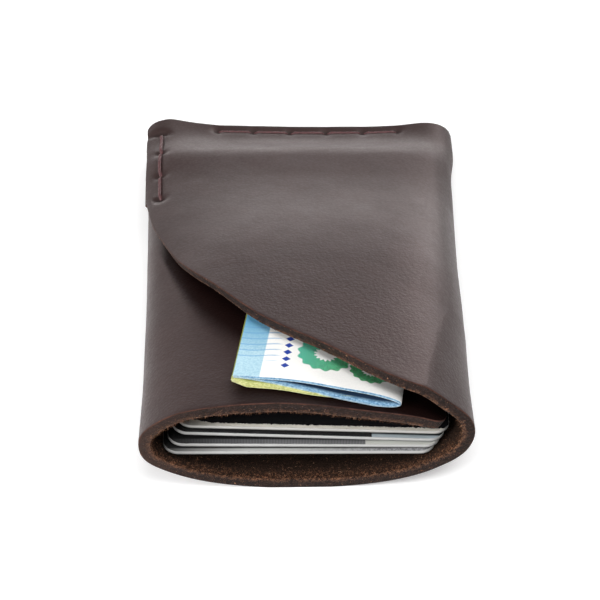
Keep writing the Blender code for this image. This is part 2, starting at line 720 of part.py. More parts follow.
def make_note(name, finish, corner, yaw_deg, base_height, top_arch):
    """Folded note that lies on the panel and follows its curve."""
    path = fold_path(top_arch)
    ahead = np.gradient(path, axis=0)
    side = np.stack([-ahead[:, 1], ahead[:, 0]], axis=-1)
    side /= np.linalg.norm(side, axis=1)[:, None]
    yaw = math.radians(yaw_deg)
    grids = []
    for sign in (1.0, -1.0):
        line = path + side * sign * NOTE_SHEET / 2
        grid = np.zeros((len(line), NOTE_ROWS, 3))
        for i, (across, height) in enumerate(line):
            for j in range(NOTE_ROWS):
                front = NOTE_SKEW * (1.0 - across / NOTE_WIDTH)
                along = front + (NOTE_DEPTH - front) * j / (NOTE_ROWS - 1)
                x = corner[0] + across * math.cos(yaw) - along * math.sin(yaw)
                y = corner[1] + across * math.sin(yaw) + along * math.cos(yaw)
                z = panel_top(x, y) + base_height + height
                grid[i, j] = placed((x, y, z))
        grids.append(grid)
    centre = Vector(grids[0].reshape(-1, 3).mean(axis=0))
    mesh = thick_sheet(name, grids[0] - np.array(centre), grids[1] - np.array(centre))
    note = add_object(name, mesh, finish, 50)
    note.location = centre
    return note


def build():
    """Makes every piece of the wallet."""
    leather_finish = material("brown_leather", (0.072, 0.045, 0.038), 0.42)
    thread_finish = material("waxed_thread", (0.060, 0.018, 0.018), 0.55)
    strip = thick_sheet("leather_body", placed_grid(OUTER), placed_grid(INNER))
    leather = add_object("leather_body", strip, leather_finish, 50)
    seams = seam_faces()
    cut_holes(leather, seams)
    make_thread("rear_seam_thread", seams["rear"], thread_finish)
    make_thread("side_seam_thread", seams["side"], thread_finish)
    card_colours = ((0.62, 0.62, 0.62), (0.70, 0.70, 0.66), (0.60, 0.64, 0.68), (0.80, 0.78, 0.72))
    for k, (centre, turn) in enumerate(card_seats()):
        make_card(k + 1, material(f"card_{k + 1}_plastic", card_colours[k], 0.3), centre, turn)
    lower_finish = material("yellow_green_paper", (0.62, 0.66, 0.30), 0.8)
    upper_finish = material("blue_white_paper", (0.55, 0.68, 0.78), 0.8)
    make_note("banknote_2", lower_finish, LOWER_NOTE_CORNER, LOWER_NOTE_YAW_DEG, CLEARANCE, 0.0)
    make_note("banknote_1", upper_finish, UPPER_NOTE_CORNER, UPPER_NOTE_YAW_DEG,
              2 * CLEARANCE + NOTE_HEIGHT + NOTE_SLIP, NOTE_SPRING)


build()
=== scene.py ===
"""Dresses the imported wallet: dense leather with its grain, flesh and cut edges, twisted thread,
printed cards and folded notes, on a white surface in soft studio light."""

import math

import bpy
import numpy as np
from mathutils import Matrix, Vector, noise


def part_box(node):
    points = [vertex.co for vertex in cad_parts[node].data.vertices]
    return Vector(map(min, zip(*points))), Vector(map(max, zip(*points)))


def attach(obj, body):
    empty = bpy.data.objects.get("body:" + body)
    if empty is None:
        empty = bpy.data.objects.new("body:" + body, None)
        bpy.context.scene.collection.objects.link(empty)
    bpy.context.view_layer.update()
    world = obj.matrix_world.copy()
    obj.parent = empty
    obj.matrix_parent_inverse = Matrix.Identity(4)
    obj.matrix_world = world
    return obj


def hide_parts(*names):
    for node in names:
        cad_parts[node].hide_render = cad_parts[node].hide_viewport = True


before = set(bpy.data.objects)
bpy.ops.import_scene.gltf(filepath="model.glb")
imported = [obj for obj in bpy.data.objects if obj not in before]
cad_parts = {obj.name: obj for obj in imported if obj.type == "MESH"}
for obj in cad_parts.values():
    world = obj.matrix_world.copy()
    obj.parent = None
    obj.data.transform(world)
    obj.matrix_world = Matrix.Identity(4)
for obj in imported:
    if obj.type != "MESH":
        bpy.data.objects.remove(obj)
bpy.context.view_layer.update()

MM = 0.001
UV_PER_METRE = 10.0
rng = np.random.default_rng(11)

# Cards
CARD_LENGTH = 85.6 * MM
CARD_WIDTH = 53.98 * MM
CARD_THICKNESS = 0.76 * MM
CARD_CORNER = 3.18 * MM
CARD_CORNER_STEPS = 14
CARD_EDGE_STEP = 0.5 * MM
CARD_TWIST_DEG = (0.0, -0.2, -1.0, -0.75)
# Each row of a card's edge: how far it is drawn in, in millimetres, and its share of half the thickness
CARD_PROFILE = ((0.07, -1.0), (0.015, -0.93), (0.0, -0.80), (0.0, 0.80), (0.015, 0.93), (0.07, 1.0))
EDGE_TONES = ((0.44, 0.44, 0.43), (0.48, 0.48, 0.47), (0.48, 0.48, 0.47), (0.56, 0.55, 0.52))
# Flat coordinate of the line where the next card covers each of the lower three; from it on, each face is
# painted dark as the shadow under that card
COVERED_V = (-0.4188, -0.4138, -0.4184)

# Notes; the heights of their four layers are in millimetres
NOTE_WIDTH = 33.25 * MM
NOTE_DEPTH = 36.0 * MM
NOTE_SKEW = 2.0 * MM
NOTE_LEFT = -13.6 * MM
NOTE_RIGHT = 19.65 * MM
NOTE_FRONT = 4.6 * MM
NOTE_END = 41.6 * MM
NOTE_YAW = math.radians(-8.0)
PAPER = 0.10 * MM
LEVELS = (0.055, 0.245, 0.435, 0.625)
FOLD_TURNS = 9
FOLD_POINTS = 60
PRINTED_COLUMNS = range(129, 205)
FRONT_ROWS = 22
OTHER_ROWS = 25

# The strip of leather, with the same sizes as the solids except for softer slopes at the rear
LEATHER = 2.4 * MM
CLEARANCE = 0.3 * MM
LENGTH = 106.1 * MM
FOLD_RADIUS = 1.6 * MM + LEATHER / 2
SAMPLES = 720
STATIONS = 240
HALVINGS = 30
SMALL_STEP = 0.4 * MM

# The loop round the contents: at the mouth
MOUTH_HALF = CARD_WIDTH / 2 + 2.57 * MM + LEATHER / 2
MOUTH_HEIGHT = 18.94 * MM
MOUTH_LOW_SHARE = 0.572
MOUTH_TOP_POWER = 2.41
MOUTH_BOTTOM_POWER = 2.23
BOTTOM_FLAT_SHARE = 0.012
SQUARING_POWER = 1.45
CREST_BOW = 0.5 * MM

# At its upper left shoulder
SHOULDER_SINK = 1.2 * MM
SHOULDER_START = 22.0 * MM
SHOULDER_EASE = 9.0 * MM
SHOULDER_LOW = 4.0 * MM
SHOULDER_RISE = 8.0 * MM
SHOULDER_FADE = 60.0 * MM

# And behind the cards, where it closes
STACK_END = 89.65 * MM
STACK_CLEAR = 6.80 * MM
DIP_LENGTH = 12.65 * MM
DIP_LEAD = 2.5 * MM
DIP_LAGS = np.linspace(-1.0 * MM, 3.0 * MM, 5)
SEAM_START = STACK_END + DIP_LENGTH
SEAM_LIFT = 1.3 * MM
SEAM_TILT_SHARE = 0.4
REAR_GIRTH_SHARE = 0.97
GIRTH_EASE_SHARE = 0.5
REAR_SHIFT = 0.6 * MM
REAR_SHIFT_START = 84.0 * MM
REAR_SHIFT_EASE = 16.0 * MM
PINCH_SHIFT = 1.5 * MM

# The panel, which lies under the flap and sinks behind the notes
PANEL_TUCK = 3.0 * MM
PANEL_CORNER = 3.0 * MM
PANEL_SINK = 2.1 * MM
PANEL_SINK_START = -6.0 * MM
PANEL_SINK_EASE = 24.0 * MM
PANEL_SINK_FADE = 46.0 * MM
PANEL_STATIONS = 140
PANEL_REACH = 30.0 * MM
PANEL_COLUMNS = 241
PANEL_END_Q = 70.0 * MM

# The flap, with the line of its cut in shares of its width and of the strip's length
FLAP_OVERHANG = 0.35 * MM
FLAP_CORNER = 3.2 * MM
FLAP_RISE_LEAD = 9.0 * MM
CUT_ACROSS = np.array((0.0, 0.11, 0.19, 0.26, 0.471, 0.656, 0.795, 0.897, 0.951, 0.982, 1.0))
CUT_ALONG = np.array((0.0, 0.006, 0.0085, 0.0231, 0.1235, 0.2136, 0.3347, 0.4336, 0.5246, 0.5993, 0.6865))
CUT_ROUNDING = 0.020
CUT_PLAIN_START = 0.87
CUT_PLAIN_EASE = 0.08
# Painted shade: a strip of the panel along the flap's edge is darkened as if in its shadow, with these
# widths at these places across
PANEL_SHADE_X = np.array((-34.0, -31.0, -28.0, -24.5, -21.0, -18.0, -14.0, 0.0, 16.0, 24.0)) * MM
PANEL_SHADE_WIDTH = np.array((0.6, 1.5, 3.9, 7.2, 9.4, 9.2, 7.0, 4.0, 3.0, 2.0)) * MM

# The pocket under the flap
POCKET_GAP = 3.28 * MM
POCKET_EDGE_GAP = 0.45 * MM
POCKET_LEFT_SHARE = 0.97
POCKET_LEFT_EASE = 20.5 * MM
POCKET_RIGHT_ROOM = 0.6 * MM
POCKET_RIGHT_EASE = 8.5 * MM
POCKET_REAR_EASE = 38.0 * MM
POCKET_REAR_SHARE = 0.3

# The leather's mesh, with columns that are narrower in the folds
FOLD_ZONE = 8.0 * MM
COLUMN_WIDTHS = (0.75 * MM, 0.42 * MM, 0.75 * MM, 0.42 * MM, 0.5 * MM)
MAIN_ROWS = 100
REAR_ROWS = 46
EDGE_INSET = 0.26 * MM
# Each row of the cut edge: its reach as a share of EDGE_INSET and its height as a share of half the leather
EDGE_PROFILE = ((0.42, 0.985), (0.75, 0.93), (0.95, 0.84), (1.0, 0.70), (1.0, 0.48), (0.97, 0.24),
                (0.95, 0.0), (0.97, -0.24), (1.0, -0.48), (0.98, -0.70), (0.86, -0.86), (0.55, -0.97))
FIBRES = 5200

# Seams
REAR_SEAM_Y = LENGTH - 2.2 * MM
REAR_HOLES = 6
REAR_SEAM_X = [2.95 * MM + 8.45 * MM * (k - (REAR_HOLES - 1) / 2) for k in range(REAR_HOLES)]
SIDE_SEAM_INSET = 3.2 * MM
SIDE_HOLES = 4
SIDE_SEAM_Y = [LENGTH - 5.9 * MM - 9.1 * MM * k for k in range(SIDE_HOLES)]
SIDE_SLANT = 1.6 * MM
THREAD = 0.8 * MM
THREAD_PLIES = 3
THREAD_LAY = 1.9 * MM
THREAD_AROUND = 18
THREAD_STEP = 0.14 * MM
THREAD_DENT = 0.45 * MM
STITCH_POINTS = 25
STITCH_SINK = 1.0 * MM
REAR_STAND = -0.10 * MM
REAR_BACK_STAND = 0.40 * MM
SIDE_STAND = 0.26 * MM
SIDE_BACK_STAND = 0.36 * MM
HOLE_SHARE = 0.075
HOLE_DEPTH = 0.75 * MM
HOLE_RADIUS = 1.15 * MM
PULL_DEPTH = 0.30 * MM
PULL_RADIUS = 0.75 * MM
DEEPEST_DENT = 0.85 * MM


def smooth(value, start=0.0, width=1.0):
    """Smooth step from 0 to 1 over a width."""
    t = np.clip((value - start) / width, 0.0, 1.0)
    return t * t * (3.0 - 2.0 * t)


def stacked(*parts):
    return np.stack(parts, axis=-1)


def unit(vectors):
    return vectors / np.linalg.norm(vectors, axis=-1, keepdims=True)


def between(table, row, column):
    """Value of a table at fractional rows and columns."""
    j = np.minimum(row.astype(int), table.shape[0] - 2)
    i = np.minimum(column.astype(int), table.shape[1] - 2)
    u = column - i
    v = row - j
    if table.ndim == 3:
        u = u[..., None]
        v = v[..., None]
    near = table[j, i] * (1 - u) + table[j, i + 1] * u
    far = table[j + 1, i] * (1 - u) + table[j + 1, i + 1] * u
    return near * (1 - v) + far * v


def clear_height(y):
    """Height inside the loop at a depth."""
    t = y / STACK_END
    open_height = MOUTH_HEIGHT + (STACK_CLEAR - MOUTH_HEIGHT) * t + 4.0 * CREST_BOW * t * (1.0 - t)
    closed = float(np.mean(smooth((y - STACK_END + DIP_LEAD - DIP_LAGS) / (DIP_LENGTH + DIP_LEAD))))
    return open_height * (1.0 - closed) + CLEARANCE * closed


def seam_lift(x, y):
    rise = SEAM_LIFT * smooth(y - STACK_END, -DIP_LENGTH, 2 * DIP_LENGTH)
    return rise * (1.0 - SEAM_TILT_SHARE * x / MOUTH_HALF)


def raw_loop(half, y):
    """Middle line of the loop at a depth, from the right fold over the top and back below."""
    middle = clear_height(y) + LEATHER
    ends = (middle ** 4 + (2 * FOLD_RADIUS) ** 4) ** 0.25
    rear = float(smooth(y / LENGTH))
    low = ends * (MOUTH_LOW_SHARE + (0.5 - MOUTH_LOW_SHARE) * rear)
    high = ends - low
    pinch = (ends - middle) / high
    squarer = ((MOUTH_HEIGHT + LEATHER) / ends) ** SQUARING_POWER
    angle = np.linspace(0.0, 2 * math.pi, 2 * SAMPLES + 1)
    c = np.cos(angle)
    s = np.sin(angle)
    power = np.where(s >= 0, MOUTH_TOP_POWER, MOUTH_BOTTOM_POWER)
    x = half * np.sign(c) * np.abs(c) ** (2.0 / (power * squarer))
    rise = np.abs(s) ** (2.0 / (2.0 + (power - 2.0) * (1.0 - rear)))
    rise = np.where(s < 0, np.minimum(rise * (1.0 + BOTTOM_FLAT_SHARE), 1.0), rise)
    off_middle = np.minimum(np.abs((x - PINCH_SHIFT * rear) / half), 1.0)
    squeeze = 1.0 - pinch * (1.0 - off_middle ** 4)
    z = np.where(s >= 0, high * rise * squeeze, -low * rise) + low + LEATHER / 2
    shoulder = smooth(-x, SHOULDER_START, SHOULDER_EASE) * smooth(z, SHOULDER_LOW, SHOULDER_RISE)
    z -= SHOULDER_SINK * shoulder * (1.0 - smooth(y / SHOULDER_FADE))
    z += seam_lift(x, y)
    return stacked(x + REAR_SHIFT * smooth(y, REAR_SHIFT_START, REAR_SHIFT_EASE), z)


def running(points):
    return np.concatenate([[0.0], np.cumsum(np.linalg.norm(np.diff(points, axis=0), axis=1))])


def even_points(points, count):
    """Evenly spaced points on a line and how far along it they lie."""
    arc = running(points)
    even = np.linspace(0.0, arc[-1], count)
    return stacked(*(np.interp(even, arc, column) for column in points.T)), even


GIRTH = running(raw_loop(MOUTH_HALF, 0.0))[-1]
DEPTHS = np.linspace(0.0, LENGTH, STATIONS)


def make_loops():
    loops = []
    for y in DEPTHS:
        narrowed = 1.0 - max(0.0, 1.0 - y / (LENGTH * GIRTH_EASE_SHARE)) ** 2
        girth = GIRTH * (1.0 + (REAR_GIRTH_SHARE - 1.0) * narrowed)
        low = 0.5 * MOUTH_HALF
        high = 1.5 * MOUTH_HALF
        for _ in range(HALVINGS):
            half = 0.5 * (low + high)
            if running(raw_loop(half, y))[-1] < girth:
                low = half
            else:
                high = half
        loops.append(even_points(raw_loop(half, y), SAMPLES + 1)[0])
    return np.array(loops)


LOOPS = make_loops()


def tube_at(share, y):
    share, y = np.broadcast_arrays(np.asarray(share, float), np.asarray(y, float))
    return between(LOOPS, np.clip(y / LENGTH, 0.0, 1.0) * (STATIONS - 1), (share % 1.0) * SAMPLES)


def pocket_gap(x, y):
    """Room between the panel and the flap."""
    fold = np.maximum(0.0, 1.0 - np.minimum(np.abs(x) / MOUTH_HALF, 1.0) ** 8) ** 0.8
    side = NOTE_RIGHT + math.tan(-NOTE_YAW) * y + POCKET_RIGHT_ROOM
    right = np.minimum(fold, 1.0 - smooth(x, side, POCKET_RIGHT_EASE))
    left = smooth(x, -MOUTH_HALF * POCKET_LEFT_SHARE, POCKET_LEFT_EASE)
    behind = smooth(y, NOTE_END, POCKET_REAR_EASE)
    wide = np.minimum(right, left) * (1.0 - behind * (1.0 - POCKET_REAR_SHARE))
    along = smooth((SEAM_START - y) / (2 * DIP_LENGTH))
    edge = CLEARANCE + (POCKET_EDGE_GAP - CLEARANCE) * along
    return edge + (POCKET_GAP - edge) * wide * along


def turned(step):
    return unit(stacked(step[..., 1], -step[..., 0]))


def outward(share, y):
    step = SMALL_STEP / GIRTH
    return turned(tube_at(share + step, y) - tube_at(share - step, y))


def share_on_top(x, y):
    row = int(round(np.clip(y / LENGTH, 0.0, 1.0) * (STATIONS - 1)))
    top = LOOPS[row][: SAMPLES // 2]
    return float(np.interp(-x, -top[:, 0], np.arange(len(top)))) / SAMPLES


PANEL_START = share_on_top(MOUTH_HALF - PANEL_TUCK, 0.0) * GIRTH


def flap_places(inset):
    goal = LOOPS[:, :, 0].min(axis=1) - LEATHER / 2 - FLAP_OVERHANG + inset
    near = np.full(STATIONS, 0.35)
    far = np.full(STATIONS, 0.5)
    for _ in range(HALVINGS):
        share = 0.5 * (near + far)
        base = tube_at(share, DEPTHS)
        outer = base + outward(share, DEPTHS) * (1.5 * LEATHER + pocket_gap(base[:, 0], DEPTHS))[:, None]
        before = outer[:, 0] > goal
        near = np.where(before, share, near)
        far = np.where(before, far, share)
    return 0.5 * (near + far) * GIRTH


FLAP_ENDS = flap_places(0.0)
FLAP_END = FLAP_ENDS[-1]
SIDE_SEAM_Q = np.interp(SIDE_SEAM_Y, DEPTHS, flap_places(SIDE_SEAM_INSET))
SIDE_SEAM = stacked(SIDE_SEAM_Q + GIRTH, SIDE_SEAM_Y)
REAR_SEAM = np.array([(share_on_top(x, REAR_SEAM_Y) * GIRTH + GIRTH, REAR_SEAM_Y) for x in REAR_SEAM_X])


def cut_line(place):
    """Curve through the cut's points that stays between each pair of them."""
    steps = np.diff(CUT_ALONG) / np.diff(CUT_ACROSS)
    joined = 2.0 * steps[1:] * steps[:-1] / (steps[1:] + steps[:-1])
    slopes = np.concatenate([[steps[0]], joined, [steps[-1]]])
    k = np.clip(np.searchsorted(CUT_ACROSS, place) - 1, 0, len(CUT_ACROSS) - 2)
    width = CUT_ACROSS[k + 1] - CUT_ACROSS[k]
    t = np.clip((place - CUT_ACROSS[k]) / width, 0.0, 1.0)
    near = CUT_ALONG[k] * (1.0 + 2.0 * t) + slopes[k] * width * t
    far = CUT_ALONG[k + 1] * (3.0 - 2.0 * t) - slopes[k + 1] * width * (1.0 - t)
    return near * (1.0 - t) ** 2 + far * t ** 2


def cut_table(place):
    """The cut's line with its joins rounded, except near the flap's end."""
    total = np.zeros(np.shape(place))
    for offset, weight in zip((-2, -1, 0, 1, 2), (1, 4, 6, 4, 1)):
        total += cut_line(np.asarray(place) + offset * CUT_ROUNDING) * weight / 16.0
    plain = cut_line(place)
    return plain + (total - plain) * (1.0 - smooth(place, CUT_PLAIN_START, CUT_PLAIN_EASE))


def panel_sink(x, y):
    across = smooth(x, PANEL_SINK_START, PANEL_SINK_EASE)
    return PANEL_SINK * across * (1.0 - smooth(y, NOTE_END, PANEL_SINK_FADE))


def strip_middle(q, y):
    """Section coordinates of the strip's middle surface at an arc place and a depth."""
    base = tube_at(q / GIRTH, y)
    over = q - GIRTH
    rise = smooth(over, -FLAP_RISE_LEAD, PANEL_START - CLEARANCE + FLAP_RISE_LEAD)
    lift = (LEATHER + pocket_gap(base[..., 0], y)) * rise
    spot = base + outward(q / GIRTH, y) * lift[..., None]
    sink = np.where(np.asarray(q) < GIRTH / 2, panel_sink(base[..., 0], y), 0.0)
    return spot - stacked(np.zeros(sink.shape), sink)


# The solids' own middle line, from the box of the leather node
MIDDLE_X = LOOPS[:, :, 0].min() - LEATHER / 2 - FLAP_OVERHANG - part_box("leather_body")[0].x
CENTRE_Y = LENGTH / 2
LOWEST = float(LOOPS[:, :, 1].min() - LEATHER / 2)


def in_frame(x, y, z):
    return stacked(x - MIDDLE_X, y - CENTRE_Y, z - LOWEST)


def strip_frame(q, y):
    """Points of the strip's middle surface in the frame, and its outward directions there."""
    middle = strip_middle(q, y)
    normal = turned(strip_middle(q + SMALL_STEP, y) - strip_middle(q - SMALL_STEP, y))
    up = stacked(normal[..., 0], np.zeros(q.shape), normal[..., 1])
    return in_frame(middle[..., 0], y, middle[..., 1]), up


def seam_dents(q, y):
    """Depth of the grain side's dents where the stitches pull on it."""
    depth = np.zeros(q.shape)
    for seam in (REAR_SEAM, SIDE_SEAM):
        for a, b in seam:
            depth += HOLE_DEPTH * np.exp(-(((q - a) ** 2 + (y - b) ** 2) / HOLE_RADIUS ** 2))
        for (ax, ay), (bx, by) in zip(seam, np.diff(seam, axis=0)):
            t = np.clip(((q - ax) * bx + (y - ay) * by) / (bx * bx + by * by), 0.0, 1.0)
            d2 = ((q - ax - t * bx) ** 2 + (y - ay - t * by) ** 2) / PULL_RADIUS ** 2
            depth = np.maximum(depth, PULL_DEPTH * np.exp(-d2))
    return np.minimum(depth, DEEPEST_DENT)


def columns():
    """Arc places of the leather's columns."""
    corner = [PANEL_CORNER * (1.0 - math.cos(math.radians(a))) for a in range(10, 91, 10)]
    tip = [FLAP_CORNER * (1.0 - math.cos(math.radians(a))) for a in range(8, 91, 6)]
    first = [PANEL_START + d for d in corner]
    last = [GIRTH + FLAP_END - d for d in reversed(tip)]
    stops = (first[-1], GIRTH / 2 - FOLD_ZONE, GIRTH / 2 + FOLD_ZONE,
             GIRTH - FOLD_ZONE, GIRTH + FOLD_ZONE, last[0])
    found = first[:-1]
    for start, end, width in zip(stops, stops[1:], COLUMN_WIDTHS):
        count = int(round((end - start) / width))
        found += list(np.linspace(start, end, count + 1))[:-1]
    return np.array(found + last)


def round_corner(distance, radius):
    inside = np.clip(radius - distance, 0.0, radius)
    return radius - np.sqrt(radius ** 2 - inside ** 2)


def column_limits(q):
    """Depths of the strip's front and rear at each column."""
    over = np.maximum(q - GIRTH, 0.0)
    cut = LENGTH * cut_table(over / FLAP_END)
    small = 0.2 * MM
    slope = (LENGTH * cut_table((over + small) / FLAP_END) - cut) / small
    front = np.where(q > GIRTH, cut, 0.0) + EDGE_INSET * np.sqrt(1.0 + np.minimum(slope, 9.0) ** 2)
    rear = np.full(q.shape, LENGTH - EDGE_INSET)
    panel = round_corner(q - PANEL_START, PANEL_CORNER)
    front += panel
    rear -= panel + round_corner(GIRTH + FLAP_END - q, FLAP_CORNER)
    return front, rear


def strip_grid():
    """Arc place and depth of every grid point of the leather."""
    q = columns()
    front, rear = column_limits(q)
    bend = np.maximum(np.minimum(STACK_END - 0.6 * DIP_LENGTH, rear - 2.2 * DIP_LENGTH), front + DIP_LENGTH)
    t = np.linspace(0.0, 1.0, MAIN_ROWS)[None, :]
    main = front[:, None] * (1 - t) + bend[:, None] * t
    t = np.linspace(0.0, 1.0, REAR_ROWS)[None, 1:]
    rest = bend[:, None] * (1 - t) + rear[:, None] * t
    y = np.concatenate([main, rest], axis=1)
    places = np.repeat(q[:, None], y.shape[1], axis=1)
    ends = np.interp(y, DEPTHS, FLAP_ENDS)
    return np.where(places > GIRTH, GIRTH + (places - GIRTH) * ends / FLAP_END, places), y


def lumps(points, scale, seed):
    """Smooth noise in -1..1 at each point."""
    shift = Vector((seed * 7.3, seed * 3.1, -seed * 5.7))
    flat = points.reshape(-1, 3) / scale
    return np.array([noise.noise(Vector(p) + shift) for p in flat]).reshape(points.shape[:-1])


def mesh_object(name, verts, faces, uv, materials, kinds=None):
    """Smooth piece; uv gives each vertex's flat place in metres and kinds each face's material."""
    mesh = bpy.data.meshes.new(name)
    mesh.from_pydata([tuple(v) for v in verts], [], [tuple(f) for f in faces])
    mesh.update()
    mesh.polygons.foreach_set("use_smooth", [True] * len(mesh.polygons))
    for material in materials:
        mesh.materials.append(material)
    if kinds is not None:
        mesh.polygons.foreach_set("material_index", kinds)
    if uv is not None:
        index = np.zeros(len(mesh.loops), int)
        mesh.loops.foreach_get("vertex_index", index)
        flat = np.asarray(uv, float) * UV_PER_METRE
        mesh.uv_layers.new(name="UVMap").data.foreach_set("uv", flat[index].ravel())
    made = bpy.data.objects.new(name, mesh)
    bpy.context.scene.collection.objects.link(made)
    return made


def set_values(made, name, values):
    """Stores a number at each vertex for the materials."""
    made.data.attributes.new(name, "FLOAT", "POINT").data.foreach_set("value", values)


def grid_parts(shape):
    """Vertices round the border of a grid, and its faces wound one way and the other way."""
    ids = np.arange(shape[0] * shape[1]).reshape(shape)
    rim = np.concatenate([ids[:-1, 0], ids[-1, :-1], ids[:0:-1, -1], ids[0, :0:-1]])
    a, b, c, d = ids[:-1, :-1], ids[1:, :-1], ids[1:, 1:], ids[:-1, 1:]
    return rim, stacked(a, b, c, d).reshape(-1, 4), stacked(a, d, c, b).reshape(-1, 4)


def tube_faces(rows, around):
    """Side faces of a closed tube, row by row, and its two caps."""
    faces = []
    for row in range(0, (rows - 1) * around, around):
        for j in range(around):
            here, after = row + j, row + (j + 1) % around
            faces.append((here, after, after + around, here + around))
    return faces + [tuple(reversed(range(around))), tuple(range((rows - 1) * around, rows * around))]


def painted_panel_shade(base, up, q, y):
    """Painted shade on the panel: how far it lies in the shadow of the flap's cut edge and of the notes'
    front.
    """
    x = base[..., 0]
    flap = q[:, 0] > GIRTH
    order = np.argsort(x[flap, 0])
    edge = np.interp(x, x[flap, 0][order], y[flap, 0][order])
    by_flap = 1.0 - smooth((edge - y) / np.interp(x, PANEL_SHADE_X, PANEL_SHADE_WIDTH) - 0.5)
    note = NOTE_FRONT - 0.14 * (x - NOTE_LEFT)
    ahead = 1.0 - 0.45 * smooth((note - y) / (4.0 * MM))
    across = smooth(x, -17.0 * MM, 4.5 * MM) * (1.0 - smooth(x, 16.0 * MM, 6.0 * MM))
    by_note = ahead * across * (y < note + 3.0 * MM)
    facing = smooth(up[..., 2], 0.55, 0.35) * smooth(x, -31.0 * MM, 2.5 * MM)
    return np.maximum(by_flap, by_note) * facing * (q < PANEL_END_Q)


def make_leather(materials):
    """The strip with its grain side, its flesh side and the cut edge all round."""
    q, y = strip_grid()
    base, up = strip_frame(q, y)
    dents = seam_dents(q, y)
    soft = lumps(base, 14 * MM, 1) * 0.10 * MM + lumps(base, 5 * MM, 2) * 0.02 * MM
    outer = base + up * (LEATHER / 2 - dents + np.clip(soft, -0.1 * MM, 0.1 * MM))[..., None]
    inner = base - up * (LEATHER / 2 + lumps(base, 1.6 * MM, 3) * 0.05 * MM)[..., None]
    total = q.size
    ring, one_way, other_way = grid_parts(q.shape)
    verts = [outer.reshape(-1, 3), inner.reshape(-1, 3)]
    uv = [stacked(q, y).reshape(-1, 2)] * 2
    quads = [other_way, one_way + total]
    kinds = [np.zeros(len(other_way), int), np.ones(len(one_way), int)]
    # Cut faces, row by row down the edge profile
    flat_base = base.reshape(-1, 3)[ring]
    flat_up = up.reshape(-1, 3)[ring]
    ahead = np.roll(flat_base, -1, axis=0) - np.roll(flat_base, 1, axis=0)
    out = unit(np.cross(flat_up, ahead))
    arc = running(flat_base)
    top_height = ((verts[0][ring] - flat_base) * flat_up).sum(axis=1)
    rows = [ring]
    for k, (reach, height) in enumerate(EDGE_PROFILE):
        level = top_height if height > 0 else np.full(len(ring), LEATHER / 2)
        spot = flat_base + flat_up * (level * height)[:, None]
        rough = lumps(spot, 0.9 * MM, 4) * 0.035 * MM + lumps(spot, 0.35 * MM, 5) * 0.03 * MM
        if height > 0.8:
            rough *= 0.3
        verts.append(spot + out * (EDGE_INSET * reach + rough)[:, None])
        uv.append(stacked(arc, np.full(len(ring), height * LEATHER / 2 + 0.5)))
        rows.append(np.arange(len(ring)) + 2 * total + k * len(ring))
    rows.append(ring + total)
    for k, (here, after) in enumerate(zip(rows, rows[1:])):
        quads.append(stacked(here, np.roll(here, -1), np.roll(after, -1), after))
        kinds.append(np.full(len(ring), 0 if k == 0 else 2))
    piece = mesh_object("leather", np.concatenate(verts), np.concatenate(quads).tolist(), np.concatenate(uv),
                        materials, np.concatenate(kinds))
    heights = np.repeat([1.0, -1.0] + [height for _, height in EDGE_PROFILE], [len(v) for v in verts])
    set_values(piece, "depth", heights)
    set_values(piece, "back", np.concatenate([y.ravel()] * 2 + [y.ravel()[ring]] * len(EDGE_PROFILE)))
    # Painted shade where the stitches pull the grain down into dents
    dent_shade = np.clip((dents - 0.25 * MM) / (0.55 * MM), 0.0, 1.0)
    # Painted shade on the grain side: along the flap's cut edge and the notes' front, and in the stitch
    # dents
    for name, values in (("painted_shade", painted_panel_shade(base, up, q, y)), ("dent_shade", dent_shade)):
        on_grain = np.zeros(len(heights))
        on_grain[:total] = values.ravel()
        set_values(piece, name, on_grain)
    return piece


def make_fibres(material):
    """Loose fibres of the flesh side and of the cut edge round the mouth."""
    verts = []
    faces = []
    shade = []
    q = rng.uniform(PANEL_START + 6 * MM, GIRTH + 4 * MM, FIBRES)
    low_part = (q > GIRTH * 0.47) & (q < GIRTH * 1.01)
    y = np.where(low_part, rng.exponential(5.0 * MM, FIBRES), rng.exponential(1.0 * MM, FIBRES))
    y = np.clip(y, 0.15 * MM, 30 * MM)
    root, up = strip_frame(q, y)
    on_edge = rng.random(FIBRES) < 0.22
    height = np.where(on_edge, rng.uniform(-1.0, 0.35, FIBRES), -1.0) * LEATHER / 2
    root = root + up * height[:, None]
    root[:, 1] = np.where(on_edge, -CENTRE_Y, root[:, 1])
    inward = np.array([0.0, 1.0, 0.0])
    along = np.cross(up, inward)
    for k in range(FIBRES):
        if on_edge[k]:
            away = -0.5 * inward
            span = rng.uniform(0.15, 0.42) * MM
        else:
            away = -up[k] * 0.75 - 0.35 * inward
            span = rng.uniform(0.3, 0.85) * MM
        lean = along[k] * rng.normal(0.0, 0.9) + inward * rng.normal(0.0, 0.6)
        first = unit(away + lean)
        second = unit(first + 0.9 * (lean * rng.uniform(-0.5, 1.0) + rng.normal(0.0, 0.35, 3)))
        width = rng.uniform(0.028, 0.055) * MM
        side = unit(np.cross(first, rng.normal(0.0, 1.0, 3))) * width / 2
        p = root[k] - first * 0.05 * MM
        mid = p + first * span * 0.55
        tip = mid + second * span * 0.45
        base = len(verts)
        verts += [p - side, p + side, mid - side * 0.8, mid + side * 0.8, tip]
        faces += [(base, base + 1, base + 3, base + 2), (base + 2, base + 3, base + 4)]
        shade += [rng.random()] * 5
    piece = mesh_object("loose_fibres", verts, faces, None, [material])
    set_values(piece, "tint", shade)
    return piece


